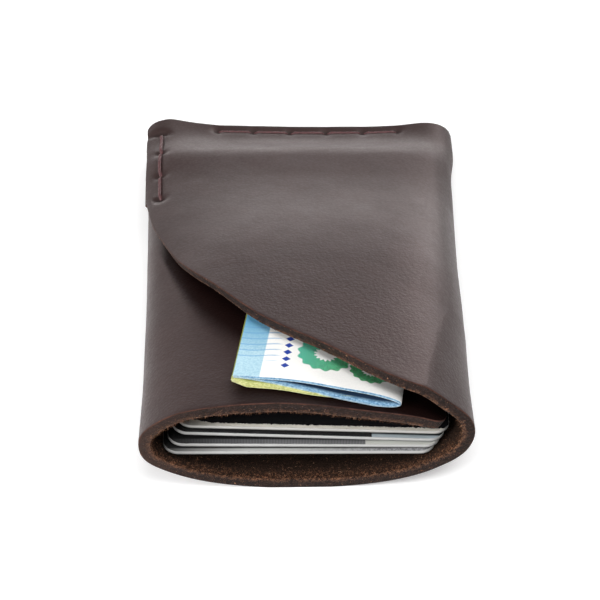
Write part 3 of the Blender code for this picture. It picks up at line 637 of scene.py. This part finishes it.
def twisted_tube(points):
    """Vertices, faces and flat coordinates of waxed thread, twisted along a row of points."""
    around = THREAD_AROUND
    steps = max(12, int(running(points)[-1] / THREAD_STEP))
    line, even = even_points(points, steps)
    for _ in range(3):
        line[1:-1] = 0.25 * line[:-2] + 0.5 * line[1:-1] + 0.25 * line[2:]
    tangent = unit(np.gradient(line, axis=0))
    side = unit(np.cross(tangent, np.array([0.13, 0.29, 0.95])))
    other = np.cross(tangent, side)
    verts = []
    for k in range(steps):
        turn = 2 * math.pi * even[k] / THREAD_LAY
        for j in range(around):
            angle = 2 * math.pi * j / around
            lobe = abs(math.cos(THREAD_PLIES * (angle - turn / THREAD_PLIES) / 2.0))
            radius = THREAD / 2 * (0.74 + 0.26 * lobe ** 0.7)
            verts.append(line[k] + radius * (side[k] * math.cos(angle) + other[k] * math.sin(angle)))
    uv = [(even[k // around], k % around / around / UV_PER_METRE) for k in range(len(verts))]
    return verts, tube_faces(steps, around), uv


def stitch_path(a, b, surface, stand):
    """Points of one stitch from hole to hole: down into each hole and along the face between them."""
    path = []
    for t in np.linspace(0.0, 1.0, STITCH_POINTS):
        near = min(t, 1.0 - t)
        rise = stand - (STITCH_SINK + stand) * math.exp(-(near / HOLE_SHARE) ** 2)
        spot, out = surface(*(a + (b - a) * t))
        path.append(spot + out * rise)
    return np.array(path)


def top_surface(q, y):
    base, out = strip_frame(q, y)
    return base + out * (LEATHER / 2 - min(seam_dents(q, y), THREAD_DENT)), out


def panel_inside(q, y):
    base, out = strip_frame(q, y)
    return base - out * LEATHER / 2, -out


def bottom_surface(x, y):
    return in_frame(x, y, seam_lift(x, y) + LOWEST), np.array([0.0, 0.0, -1.0])


def make_seam(name, runs, material):
    """One seam: for each run its holes, the face it lies on and how high it stands."""
    verts = []
    faces = []
    uv = []
    for k in range(len(runs[0][0]) - 1):
        for holes, surface, stand in runs:
            more, sides, flat = twisted_tube(stitch_path(holes[k], holes[k + 1], surface, stand))
            faces += [tuple(len(verts) + corner for corner in face) for face in sides]
            verts += more
            uv += flat
    return mesh_object(f"{name}_stitches", verts, faces, uv, [material])


def seam_runs():
    """The runs of both seams, on the grain side and on the side that is turned away."""
    rear_low = np.array([(strip_middle(q, y)[0], y) for q, y in REAR_SEAM])
    side_low = stacked(SIDE_SEAM_Q - SIDE_SLANT, SIDE_SEAM_Y)
    return {"rear_seam": ((REAR_SEAM, top_surface, REAR_STAND), (rear_low, bottom_surface, REAR_BACK_STAND)),
            "side_seam": ((SIDE_SEAM, top_surface, SIDE_STAND), (side_low, panel_inside, SIDE_BACK_STAND))}


def card_frame(node):
    """Centre and axes of a card from its solid."""
    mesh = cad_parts[node].data
    points = np.zeros(len(mesh.vertices) * 3)
    mesh.vertices.foreach_get("co", points)
    points = np.unique(np.round(points.reshape(-1, 3), 7), axis=0)
    centre = points.mean(axis=0)
    _, _, axes = np.linalg.svd(points - centre, full_matrices=False)
    length = axes[0] * np.sign(axes[0, 1])
    width = axes[1] * np.sign(axes[1, 0])
    return centre, width, length, np.cross(width, length)


def card_ring():
    """Points round a card's outline with their directions outward."""
    ring = []
    half_x = CARD_WIDTH / 2 - CARD_CORNER
    half_y = CARD_LENGTH / 2 - CARD_CORNER
    for sx, sy, start in ((1, 1, 0), (-1, 1, 90), (-1, -1, 180), (1, -1, 270)):
        for step in range(CARD_CORNER_STEPS + 1):
            angle = math.radians(start + 90 * step / CARD_CORNER_STEPS)
            ux, uy = math.cos(angle), math.sin(angle)
            ring.append((sx * half_x + CARD_CORNER * ux, sy * half_y + CARD_CORNER * uy, ux, uy))
    # The straight sides get more points, so that the die-cut edge can waver
    found = []
    for k, (ax, ay, ux, uy) in enumerate(ring):
        bx, by = ring[(k + 1) % len(ring)][:2]
        straight = k % (CARD_CORNER_STEPS + 1) == CARD_CORNER_STEPS
        count = int(max(abs(ax - bx), abs(ay - by)) / CARD_EDGE_STEP) if straight else 1
        for t in np.arange(count) / count:
            found.append((ax + (bx - ax) * t, ay + (by - ay) * t, ux, uy))
    return found


def make_card(number, materials):
    """Card with rounded corners, laminate layers on its edge and its own flat coordinates."""
    centre, width, length, up = card_frame(f"card_{number}")
    twist = math.radians(CARD_TWIST_DEG[number - 1])
    ring = card_ring()
    verts = []
    uv = []
    for inset, level in CARD_PROFILE:
        height = level * CARD_THICKNESS / 2
        for px, py, ux, uy in ring:
            inward = inset * MM
            if abs(level) > 0.9:
                inward += 0.03 * MM * max(0.0, noise.noise(Vector((px, py, height)) * 1400.0))
            x = px - ux * inward
            y = py - uy * inward
            bent = twist * (0.5 - y / CARD_LENGTH) * x
            verts.append(centre + width * x + length * y + up * (height + bent))
            uv.append((x, y))
    faces = tube_faces(len(CARD_PROFILE), len(ring))
    kinds = [1] * (len(faces) - 2) + [0, 0]
    piece = mesh_object(f"card_{number}_laminate", verts, faces, uv, materials, kinds)
    set_values(piece, "layer", np.repeat([level for _, level in CARD_PROFILE], len(ring)))
    piece.data.set_sharp_from_angle(angle=math.radians(35))
    return piece


def panel_height(x, y):
    """Height of the panel's grain side in section coordinates, for arrays."""
    xs = np.linspace(-PANEL_REACH, PANEL_REACH, PANEL_COLUMNS)
    field = []
    share = np.arange(0, SAMPLES // 2 + 1) / SAMPLES
    for depth in DEPTHS[:PANEL_STATIONS]:
        skin = tube_at(share, depth) + outward(share, depth) * LEATHER / 2
        field.append(np.interp(-xs, -skin[:, 0], skin[:, 1]))
    row = np.clip(y / DEPTHS[1], 0, len(field) - 1.001)
    column = np.clip((x - xs[0]) / (xs[1] - xs[0]), 0, len(xs) - 1.001)
    return between(np.array(field), row, column) - panel_sink(x, y)


def note_path():
    """Middle line of a folded note: across, height and how far each point belongs to the upper half."""
    pitch = (LEVELS[1] - LEVELS[0]) * MM
    left = 0.16 * MM
    right = NOTE_WIDTH - 0.34 * MM
    across = []

    def straight(x0, x1, level, upper):
        for t in np.linspace(0.0, 1.0, FOLD_POINTS):
            across.append((x0 + (x1 - x0) * t, level * MM, upper))

    def bend(x, z, radius, start, end, upper):
        for k in range(1, FOLD_TURNS):
            angle = math.radians(start + (end - start) * k / FOLD_TURNS)
            share = upper if upper is not None else 0.5 - 0.5 * math.cos(math.pi * (1.0 - k / FOLD_TURNS))
            across.append((x + radius * math.cos(angle), z + radius * math.sin(angle), share))

    straight(left, right, LEVELS[1], 0.0)
    bend(right, (LEVELS[1] + LEVELS[2]) / 2 * MM, pitch / 2, -90, 90, 0.5)
    straight(right, left, LEVELS[2], 1.0)
    bend(left, (LEVELS[2] + LEVELS[3]) / 2 * MM, pitch / 2, 270, 90, 1.0)
    straight(left, right, LEVELS[3], 1.0)
    bend(right, (LEVELS[0] + LEVELS[3]) / 2 * MM, 1.5 * pitch, 90, -90, None)
    straight(right, left, LEVELS[0], 0.0)
    return np.array(across)


def make_note(name, materials, seed, corner, yaw_deg,
              spring=0.0, opening=0.0, sag=0.0, reach=0.0, ahead=0.0, back=0.0):
    """Folded note on the panel; the upper half springs up and the lower half's front edge sags."""
    path = note_path()
    step = np.gradient(path[:, :2], axis=0)
    side = unit(stacked(-step[:, 1], step[:, 0]))
    yaw = math.radians(yaw_deg)
    rows = np.concatenate([np.linspace(0.0, 0.2, FRONT_ROWS), np.linspace(0.2, 1.0, OTHER_ROWS + 1)[1:]])
    grids = []
    uvs = []
    behind = []
    for sign in (1.0, -1.0):
        line = path[:, :2] + side * sign * PAPER / 2
        across, height, upper = (np.repeat(values[:, None], len(rows), axis=1)
                                 for values in (line[:, 0], line[:, 1], path[:, 2]))
        share = np.clip(across / NOTE_WIDTH, 0.0, 1.0)
        lower = 1.0 - upper
        skewed = (share / 0.84) ** 3.15 * ((1.0 - share) / 0.16) ** 0.6
        broad = smooth(share, -0.05, 0.5) * np.minimum(1.0, (1.0 - share) / 0.16) ** 0.55
        inner = np.exp(-((path[:, 1:2] - LEVELS[2] * MM) / (0.06 * MM)) ** 2)
        front = NOTE_SKEW * (1.0 - share) - reach * lower * broad - 0.40 * MM * inner * smooth(share / 0.1)
        front -= ahead * smooth(share, -0.02, 0.14) * (1.0 - smooth(share, 0.42, 0.40))
        front += back * smooth(share, 0.55, 0.35) + 0.06 * MM * np.sin(path[:, 1:2] * 9000.0)
        along = front + (NOTE_DEPTH - front) * rows[None, :]
        near = np.exp(-((along - front) / (6.0 * MM)) ** 2)
        close = np.exp(-((along - front) / (1.8 * MM)) ** 2)
        ripple = 0.03 * MM * np.sin(along * 900.0 + seed) * np.sin(across * 420.0 + 2.0 * seed)
        x = corner[0] + across * math.cos(yaw) - along * math.sin(yaw)
        y = corner[1] + across * math.sin(yaw) + along * math.cos(yaw)
        z = panel_height(x, np.maximum(y, 0.0)) + corner[2] + height + ripple
        z += spring * np.sin(math.pi * share) ** 2 * upper + opening * skewed * near * upper
        z -= sag * skewed * close * lower
        grids.append(in_frame(x, y, z))
        uvs.append(stacked(across, along))
        behind.append(along - front)
    total = behind[0].size
    ring, one_way, other_way = grid_parts(behind[0].shape)
    after = np.roll(ring, -1)
    faces = [one_way, other_way + total, stacked(ring, ring + total, after + total, after)]
    printed = np.isin(one_way[:, 0] // len(rows), PRINTED_COLUMNS)
    kinds = [np.where(printed, 0, 1), np.ones(len(one_way), int), np.full(len(ring), 2)]
    piece = mesh_object(name, np.concatenate(grids).reshape(-1, 3), np.concatenate(faces).tolist(),
                        np.concatenate(uvs).reshape(-1, 2), materials, np.concatenate(kinds))
    set_values(piece, "behind", np.concatenate(behind).ravel())
    piece.data.set_sharp_from_angle(angle=math.radians(50))
    return piece


# Materials

class Nodes:
    """Short calls for building the node tree of a material or of the world."""

    def __init__(self, owner):
        owner.use_nodes = True
        self.tree = owner.node_tree

    def fill(self, node, inputs):
        """Links or sets a node's inputs; those given as None keep their default."""
        for key, item in inputs.items():
            socket = node.inputs[key]
            if hasattr(item, "is_output"):
                self.tree.links.new(item, socket)
            elif item is not None:
                socket.default_value = (*item, 1.0) if socket.type == "RGBA" else item

    def add(self, kind, inputs=(), **settings):
        node = self.tree.nodes.new(kind)
        for key, value in settings.items():
            setattr(node, key, value)
        self.fill(node, dict(inputs))
        return node

    def math(self, operation, *values):
        return self.add("ShaderNodeMath", enumerate(values), operation=operation).outputs[0]

    def plus(self, a, b):
        return self.math("ADD", a, b)

    def times(self, a, b):
        return self.math("MULTIPLY", a, b)

    def off(self, value, centre):
        """How far a value is from a centre, on either side."""
        return self.math("ABSOLUTE", self.math("SUBTRACT", value, centre))

    def spread(self, value, *limits):
        """Value between two limits, brought to 0..1 or to two more limits, and held there."""
        return self.add("ShaderNodeMapRange", enumerate((value, *limits)), clamp=True).outputs[0]

    def within(self, value, full, none):
        """1 up to a limit and 0 from the next one on."""
        return self.spread(value, full, none, 1.0, 0.0)

    def split(self, vector):
        return self.add("ShaderNodeSeparateXYZ", {0: vector}).outputs


class Surface(Nodes):
    """Nodes of a new material, with its textures laid out by the object's own coordinates."""

    def __init__(self, name):
        self.material = bpy.data.materials.new(name)
        super().__init__(self.material)
        self.shader = self.tree.nodes["Principled BSDF"]
        self.place = self.add("ShaderNodeTexCoord").outputs["Object"]

    def noise(self, scale, detail, rough, distortion=0.0):
        return self.add("ShaderNodeTexNoise", {"Vector": self.place, "Scale": scale, "Detail": detail,
                                               "Roughness": rough, "Distortion": distortion}).outputs[0]

    def patches(self, scale, detail, rough, *limits):
        return self.spread(self.noise(scale, detail, rough), *limits)

    def cells(self, scale, feature):
        inputs = {"Vector": self.place, "Scale": scale}
        return self.add("ShaderNodeTexVoronoi", inputs, feature=feature).outputs[0]

    def ramp(self, factor, stops):
        node = self.add("ShaderNodeValToRGB", {0: factor})
        elements = node.color_ramp.elements
        while len(elements) < len(stops):
            elements.new(0.5)
        for element, (place, colour) in zip(elements, stops):
            element.position = place
            element.color = (*colour, 1.0)
        return node.outputs[0]

    def mix(self, factor, a, b):
        return self.add("ShaderNodeMix", {0: factor, 6: a, 7: b}, data_type="RGBA").outputs[2]

    def bump(self, height, strength, distance, before=None):
        return self.add("ShaderNodeBump", {"Height": height, "Strength": strength, "Distance": distance,
                                           "Normal": before}).outputs[0]

    def uv(self):
        return self.add("ShaderNodeUVMap", uv_map="UVMap").outputs[0]

    def attribute(self, name):
        return self.add("ShaderNodeAttribute", attribute_name=name).outputs["Fac"]

    def lay(self, factor, colour):
        """Mixes a colour over the one so far."""
        self.colour = self.mix(factor, self.colour, colour)

    def finish(self, roughness, normal=None, **sockets):
        sockets.update(Base_Color=self.colour, Roughness=roughness, Normal=normal)
        self.fill(self.shader, {key.replace("_", " "): item for key, item in sockets.items()})
        return self.material


def grain_material():
    n = Surface("leather_grain")
    fine = n.noise(2600.0, 3.0, 0.6)
    cells = n.cells(1500.0, "F1")
    pores = n.cells(900.0, "SMOOTH_F1")
    back = n.attribute("back")
    painted_shade = n.attribute("painted_shade")
    broad = n.noise(38.0, 4.0, 0.55)
    n.colour = n.ramp(broad, ((0.30, (0.0100, 0.0045, 0.0042)), (0.70, (0.0160, 0.0074, 0.0067))))
    n.lay(n.patches(170.0, 5.0, 0.6, 0.42, 0.72, 0.0, 0.42), (0.0240, 0.0115, 0.0100))
    n.lay(n.spread(fine, 0.35, 0.62, 0.30, 0.0), (0.0060, 0.0028, 0.0026))
    # Painted shade in the stitch dents
    n.lay(n.attribute("dent_shade"), (0.0040, 0.0020, 0.0018))
    # Painted shade on the panel along the flap's cut edge and in front of the notes
    n.lay(n.times(painted_shade, 0.6), (0.0045, 0.0017, 0.0015))
    height = n.plus(n.plus(n.times(cells, 0.55), n.times(fine, 0.8)), n.times(pores, 0.35))
    height = n.times(height, n.spread(back, 0.012, 0.060, 1.5, 0.45))
    normal = n.bump(n.noise(230.0, 3.0, 0.5), 0.14, 0.0003, n.bump(height, 0.34, 0.00012))
    rough = n.patches(120.0, 4.0, 0.6, 0.3, 0.7, 0.38, 0.46)
    rough = n.plus(rough, n.spread(cells, 0.0, 0.7, -0.03, 0.05))
    rough = n.plus(rough, n.spread(back, 0.070, 0.084, 0.0, 0.10))
    # The painted shade also dims the panel's reflection
    return n.finish(rough, normal, Specular_IOR_Level=n.spread(painted_shade, 0.0, 1.0, 0.73, 0.08),
                    Specular_Tint=(1.0, 0.72, 0.69))


def flesh_material():
    n = Surface("leather_flesh")
    clumps = n.noise(1900.0, 5.0, 0.72, 0.6)
    fine = n.noise(4200.0, 3.0, 0.7, 0.4)
    mixed = n.plus(n.times(clumps, 0.55), n.times(fine, 0.45))
    n.colour = n.ramp(mixed, ((0.43, (0.0040, 0.0019, 0.0014)), (0.515, (0.0110, 0.0052, 0.0033)),
                              (0.625, (0.40, 0.170, 0.085))))
    n.lay(n.patches(110.0, 3.0, 0.5, 0.45, 0.75, 0.0, 0.35), (0.030, 0.014, 0.009))
    back = n.attribute("back")
    # Painted shade: the flesh side darkens further into the mouth, under the cards
    n.lay(n.spread(back, 0.0006, 0.0031, 0.0, 0.95), (0.0050, 0.0024, 0.0018))
    normal = n.bump(clumps, 1.0, 0.0007, n.bump(fine, 0.9, 0.0002))
    return n.finish(0.95, normal, Specular_IOR_Level=0.10, Sheen_Weight=0.10, Sheen_Roughness=0.5,
                    Sheen_Tint=(0.75, 0.45, 0.3))


def edge_material():
    n = Surface("leather_cut_edge")
    depth = n.attribute("depth")
    clumps = n.noise(1100.0, 5.0, 0.7, 0.5)
    fine = n.noise(3800.0, 4.0, 0.7, 0.3)
    mixed = n.plus(n.times(clumps, 0.5), n.times(fine, 0.5))
    n.colour = n.ramp(mixed, ((0.37, (0.0050, 0.0026, 0.0021)), (0.51, (0.0175, 0.0084, 0.0060)),
                              (0.64, (0.058, 0.029, 0.020))))
    aside = n.split(n.place)["X"]
    # Painted sheen: the cut edge is lighter towards the far left
    n.lay(n.spread(aside, -0.031, -0.020, 0.40, 0.0), (0.064, 0.036, 0.028))
    line = n.patches(420.0, 3.0, 0.6, 0.35, 0.62, 0.15, 0.75)
    n.lay(n.times(n.spread(depth, 0.78, 0.93), line), (0.125, 0.050, 0.034))
    n.lay(n.times(n.spread(depth, -0.2, -0.95), n.spread(mixed, 0.46, 0.60)), (0.23, 0.105, 0.055))
    spot = n.times(n.patches(2300.0, 2.0, 0.6, 0.665, 0.71),
                   n.patches(300.0, 2.0, 0.5, 0.40, 0.60, 0.1, 1.0))
    n.lay(spot, (0.46, 0.21, 0.115))
    normal = n.bump(clumps, 0.8, 0.0004, n.bump(fine, 0.7, 0.00018))
    return n.finish(0.74, normal, Specular_IOR_Level=0.15, Sheen_Weight=0.04, Sheen_Roughness=0.5)


def fibre_material():
    n = Surface("leather_fibre")
    n.colour = n.ramp(n.attribute("tint"), ((0.0, (0.030, 0.014, 0.009)), (0.55, (0.15, 0.068, 0.036)),
                                            (0.88, (0.33, 0.155, 0.085)), (1.0, (0.60, 0.34, 0.21))))
    return n.finish(0.8, Specular_IOR_Level=0.25)


def thread_material():
    n = Surface("waxed_thread")
    fine = n.noise(5200.0, 3.0, 0.6)
    n.colour = n.ramp(fine, ((0.35, (0.045, 0.014, 0.015)), (0.65, (0.115, 0.036, 0.038))))
    rough = n.spread(fine, 0.3, 0.7, 0.45, 0.62)
    return n.finish(rough, n.bump(fine, 0.5, 0.00006), Specular_IOR_Level=0.5)


def card_edge_material(number):
    n = Surface(f"card_{number}_edge")
    tone = EDGE_TONES[number - 1]
    layer = n.attribute("layer")
    level = n.math("ABSOLUTE", layer)
    seam = n.spread(n.off(level, 0.80), 0.0, 0.09, 0.55, 0.0)
    n.colour = n.mix(seam, tone, tuple(0.55 * c for c in tone))
    nick = n.times(n.patches(900.0, 4.0, 0.7, 0.60, 0.68, 0.0, 0.7), n.spread(level, 0.80, 0.98))
    n.lay(nick, (0.08, 0.075, 0.07))
    aside = n.split(n.place)["X"]
    # Painted shade at the cards' left ends
    n.lay(n.spread(aside, -0.0275, -0.0170, 0.72, 0.0), (0.10, 0.095, 0.09))
    # Painted shade on the lower part of each card's edge
    n.lay(n.spread(layer, -0.95, -0.15, 0.85, 0.0), (0.030, 0.028, 0.026))
    normal = n.bump(n.noise(2600.0, 2.0, 0.5), 0.15, 0.00005)
    return n.finish(0.42, normal, Specular_IOR_Level=0.5)


def card_face_material(number):
    n = Surface(f"card_{number}_face")
    u, v, _ = n.split(n.uv())
    if number == 4:
        mottled = n.patches(700.0, 3.0, 0.6, 0.35, 0.65)
        cream = n.mix(mottled, (0.90, 0.86, 0.76), (0.80, 0.76, 0.67))
        # Cream near the front edge and near black beyond a ragged line
        ragged = n.times(n.plus(n.noise(2300.0, 4.0, 0.7), -0.5), 0.012)
        corner = n.spread(u, -0.20, -0.25, 0.0, -0.012)
        margin = n.plus(n.plus(v, ragged), corner)
        n.colour = n.mix(n.spread(margin, -0.4195, -0.4185), cream, (0.012, 0.012, 0.013))
    elif number == 3:
        n.colour = n.mix(n.spread(u, 0.124, 0.126), (0.010, 0.010, 0.012), (0.38, 0.44, 0.48))
    elif number == 2:
        stripes = n.add("ShaderNodeTexWave", {"Vector": n.uv(), "Scale": 105.0}, wave_type="BANDS",
                        bands_direction="X").outputs[1]
        grey = n.mix(n.spread(stripes, 0.2, 0.8), (0.085, 0.085, 0.088), (0.19, 0.19, 0.195))
        # Painted shade towards the card's left end
        grey = n.mix(n.spread(u, -0.26, -0.05, 0.85, 0.0), grey, (0.012, 0.012, 0.013))
        n.colour = n.mix(n.spread(u, 0.120, 0.122), grey, (0.50, 0.50, 0.46))
    else:
        speck = n.noise(1500.0, 3.0, 0.7)
        dark = n.mix(n.spread(speck, 0.4, 0.6), (0.13, 0.13, 0.135), (0.30, 0.30, 0.31))
        n.colour = n.mix(n.spread(u, -0.05, 0.18), (0.40, 0.40, 0.39), dark)
        smear = n.times(n.within(n.off(u, -0.175), 0.010, 0.020),
                        n.within(n.off(v, -0.412), 0.003, 0.007))
        n.lay(n.times(smear, n.spread(speck, 0.4, 0.55)), (0.38, 0.30, 0.14))
    # Painted shade at the left ends of the faces
    left_shade = (-0.265, -0.10, 0.98, 0.0) if number == 1 else (-0.275, -0.17, 0.80, 0.0)
    n.lay(n.spread(u, *left_shade), (0.020, 0.019, 0.018))
    if number < 4:
        # Painted shadow under the next card's front edge
        shadow_line = COVERED_V[number - 1]
        n.lay(n.spread(v, shadow_line - 0.002, shadow_line + 0.002, 0.0, 0.95), (0.012,) * 3)
    normal = n.bump(n.noise(1900.0, 2.0, 0.5), 0.04, 0.00004)
    return n.finish(0.26, normal, Specular_IOR_Level=0.5, Coat_Weight=0.15, Coat_Roughness=0.12)


def blue_note_top():
    """Generic print: a tinted band with fine waves and round guilloche motifs."""
    n = Surface("blue_note_print")
    u, v, _ = n.split(n.uv())
    grainy = n.noise(2600.0, 3.0, 0.7)
    white = n.mix(n.spread(grainy, 0.35, 0.65), (0.95, 0.94, 0.905), (0.90, 0.895, 0.87))
    band = n.mix(n.spread(grainy, 0.38, 0.62), (0.34, 0.56, 0.68), (0.50, 0.70, 0.78))
    band = n.mix(n.spread(v, 0.09, 0.20), band, (0.13, 0.40, 0.62))
    n.colour = n.mix(n.within(u, 0.052, 0.054), white, band)
    wave = n.times(n.math("SINE", n.times(u, 62.0)), 0.0022)
    saw = n.math("FRACT", n.times(n.plus(v, wave), 53.0))
    thin = n.within(n.off(saw, 0.5), 0.05, 0.14)
    reach = n.times(n.within(u, 0.074, 0.088), n.spread(v, 0.066, 0.070))
    n.lay(n.times(thin, n.times(reach, 0.65)), (0.14, 0.36, 0.62))
    mottled = n.patches(1700.0, 3.0, 0.7, 0.42, 0.58)
    green = n.mix(mottled, (0.0, 0.22, 0.05), (0.015, 0.42, 0.13))
    green = n.mix(n.spread(u, 0.11, 0.22, 0.8, 0.0), green, (0.015, 0.42, 0.32))
    for cx, cy, radius, rings in ((0.172, 0.108, 0.056, 1800.0), (0.264, 0.083, 0.042, 2160.0)):
        dx = n.plus(u, -cx)
        dy = n.plus(v, -cy)
        angle = n.math("ARCTAN2", dy, dx)
        petals = n.times(n.math("SINE", n.times(angle, 14.0)), radius * 0.05)
        shape = n.plus(n.math("SQRT", n.plus(n.times(dx, dx), n.times(dy, dy))), petals)
        inside = n.times(n.within(shape, radius * 0.93, radius * 0.97),
                         n.spread(shape, radius * 0.34, radius * 0.38))
        ring = n.spread(n.math("SINE", n.times(shape, rings)), -0.35, 0.1, 0.80, 1.0)
        n.lay(n.times(inside, ring), green)
    beads = n.times(n.off(n.math("FRACT", n.times(v, 45.0)), 0.5), 1.1 / 45.0)
    lozenge = n.plus(n.off(u, 0.098), beads)
    column = n.times(n.within(lozenge, 0.0085, 0.0092), n.spread(v, 0.044, 0.045))
    n.lay(column, (0.02, 0.055, 0.33))
    return n.finish(0.72, n.bump(grainy, 0.25, 0.00005), Specular_IOR_Level=0.3)


def speckled_paper(name, dark, light, shade_colour):
    n = Surface(name)
    fine = n.noise(2100.0, 3.0, 0.75)
    n.colour = n.mix(n.spread(fine, 0.40, 0.60), dark, light)
    lighter = tuple(min(1.0, 1.3 * c) for c in light)
    n.lay(n.patches(160.0, 3.0, 0.5, 0.45, 0.7, 0.0, 0.4), lighter)
    # Painted shade behind the front edge, inside the fold
    n.lay(n.spread(n.attribute("behind"), 0.0007, 0.0014), shade_colour)
    return n.finish(0.78, n.bump(fine, 0.3, 0.00005), Specular_IOR_Level=0.25)


# Pieces on their bodies

leather = make_leather([grain_material(), flesh_material(), edge_material()])
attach(leather, "wallet")
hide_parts("leather_body")
fibres = make_fibres(fibre_material())
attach(fibres, "wallet")
thread = thread_material()
for seam, runs in seam_runs().items():
    piece = make_seam(seam, runs, thread)
    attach(piece, "wallet")
    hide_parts(seam + "_thread")
for number in range(1, 5):
    card = make_card(number, [card_face_material(number), card_edge_material(number)])
    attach(card, f"card_{number}_body")
    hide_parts(f"card_{number}")
blue_side = speckled_paper("blue_note_back", (0.10, 0.24, 0.41), (0.33, 0.53, 0.69), (0.016, 0.040, 0.085))
blue_cut = speckled_paper("blue_note_cut", (0.42, 0.62, 0.74), (0.74, 0.85, 0.90), (0.5, 0.7, 0.8))
upper_note = make_note("blue_note", [blue_note_top(), blue_side, blue_cut], 0.4,
                       (NOTE_LEFT, 5.6 * MM, 0.92 * MM), -8.0, spring=0.5 * MM, opening=0.75 * MM,
                       sag=0.75 * MM, reach=1.45 * MM, back=0.9 * MM)
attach(upper_note, "note_1_body")
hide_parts("banknote_1")
green_side = speckled_paper("green_note_back", (0.42, 0.44, 0.14), (0.66, 0.66, 0.30), (0.25, 0.28, 0.06))
green_cut = speckled_paper("green_note_cut", (0.60, 0.60, 0.28), (0.80, 0.80, 0.48), (0.5, 0.5, 0.2))
lower_note = make_note("green_note", [green_side, green_side, green_cut], 1.7,
                       (-13.95 * MM, 5.45 * MM, 0.1 * MM), -7.8, ahead=1.5 * MM, back=1.2 * MM)
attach(lower_note, "note_2_body")
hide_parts("banknote_2")

# Camera, where the outlines of the mouth and of the sides in the photograph put it

PHOTO_PIXELS = 600.0
FOCAL_PIXELS = 2253.8
AIM_PIXEL = (306.2, 487.5)
SENSOR_WIDTH = 36.0
CAMERA_DISTANCE = 0.450
CAMERA_TILT = math.radians(42.0)
CAMERA_YAW = math.radians(0.85)
CAMERA_ASIDE = 0.95 * MM
scene = bpy.context.scene
camera = bpy.data.objects.new("camera", bpy.data.cameras.new("camera"))
scene.collection.objects.link(camera)
scene.camera = camera
camera.data.sensor_width = SENSOR_WIDTH
camera.data.lens = FOCAL_PIXELS / PHOTO_PIXELS * SENSOR_WIDTH
camera.data.clip_start = 0.01
right = Vector((1.0, 0.0, 0.0))
ahead = Vector((0.0, math.cos(CAMERA_TILT), -math.sin(CAMERA_TILT)))
above = Vector((0.0, math.sin(CAMERA_TILT), math.cos(CAMERA_TILT)))
aside, below = (pixel - PHOTO_PIXELS / 2 for pixel in AIM_PIXEL)
spot = -(right * aside * CAMERA_DISTANCE / FOCAL_PIXELS - above * below * CAMERA_DISTANCE / FOCAL_PIXELS
         + ahead * CAMERA_DISTANCE)
turn = Matrix.Rotation(-CAMERA_YAW, 3, "Z")
placing = Matrix((turn @ right, turn @ above, -(turn @ ahead))).transposed().to_4x4()
placing.translation = turn @ spot + Vector((CAMERA_ASIDE - MIDDLE_X, -CENTRE_Y, 0.0))
camera.matrix_world = placing

# Floor, with a little light of its own that the camera and mirrors see

FLOOR_GLOW = 0.31
n = Surface("white_floor")
n.colour = (0.86, 0.86, 0.86)
rays = n.add("ShaderNodeLightPath").outputs
both = n.math("MAXIMUM", rays["Is Camera Ray"], rays["Is Glossy Ray"])
glow = n.add("ShaderNodeEmission", {"Strength": n.times(both, FLOOR_GLOW)})
joined = n.add("ShaderNodeAddShader", {0: n.shader.outputs[0], 1: glow.outputs[0]})
n.fill(n.tree.nodes["Material Output"], {"Surface": joined.outputs[0]})
corners = [(-3, -3, 0), (3, -3, 0), (3, 3, 0), (-3, 3, 0)]
floor = mesh_object("floor", corners, [(0, 1, 2, 3)], None, [n.finish(0.8, Specular_IOR_Level=0.1)])

# Light: a studio whose rear and left side shine in what mirrors them

PLAIN_SKY = (-1.0, 1.0, 0.34, 0.12)
MIRRORED_SKY = (0.60, 0.96, 0.20, 1.0)
MIRRORED_SIDES = (0.0, 0.45, 0.45, 1.0)
LEFT_SIDE = (-0.30, -0.62, 0.0, 0.80)
DARKEST_SIDE = -0.10
scene.world = bpy.data.worlds.new("studio")
n = Nodes(scene.world)
rays = n.add("ShaderNodeLightPath").outputs
across, along, _ = n.split(n.add("ShaderNodeTexCoord").outputs["Generated"])
sides = n.spread(n.off(across, DARKEST_SIDE), *MIRRORED_SIDES)
mirrored = n.times(n.spread(along, *MIRRORED_SKY), sides)
mirrored = n.math("MAXIMUM", mirrored, n.spread(across, *LEFT_SIDE))
mirrored = n.times(mirrored, rays["Is Glossy Ray"])
light = n.math("MAXIMUM", n.spread(along, *PLAIN_SKY), mirrored)
light = n.math("MAXIMUM", light, rays["Is Camera Ray"])
n.fill(n.tree.nodes["Background"], {"Color": (1.0, 1.0, 1.0), "Strength": light})


def softbox(name, place, size, power, target=(0.0, 0.0, 0.0)):
    lamp = bpy.data.lights.new(name, "AREA")
    lamp.shape = "RECTANGLE"
    lamp.size, lamp.size_y = size
    lamp.energy = power
    made = bpy.data.objects.new(name, lamp)
    made.location = place
    made.rotation_euler = (Vector(target) - Vector(place)).to_track_quat("-Z", "Y").to_euler()
    scene.collection.objects.link(made)


softbox("top", (0.10, -0.24, 0.62), (0.45, 0.35), 2.9)
softbox("rear_low", (0.08, 0.75, 0.05), (0.80, 0.14), 1.9, (0.0, 0.03, 0.01))
softbox("rear_right", (0.40, 0.52, 0.46), (0.28, 0.28), 1.2)
softbox("left_front", (-0.48, -0.38, 0.34), (0.35, 0.28), 3.8)

scene.view_settings.view_transform = "Standard"
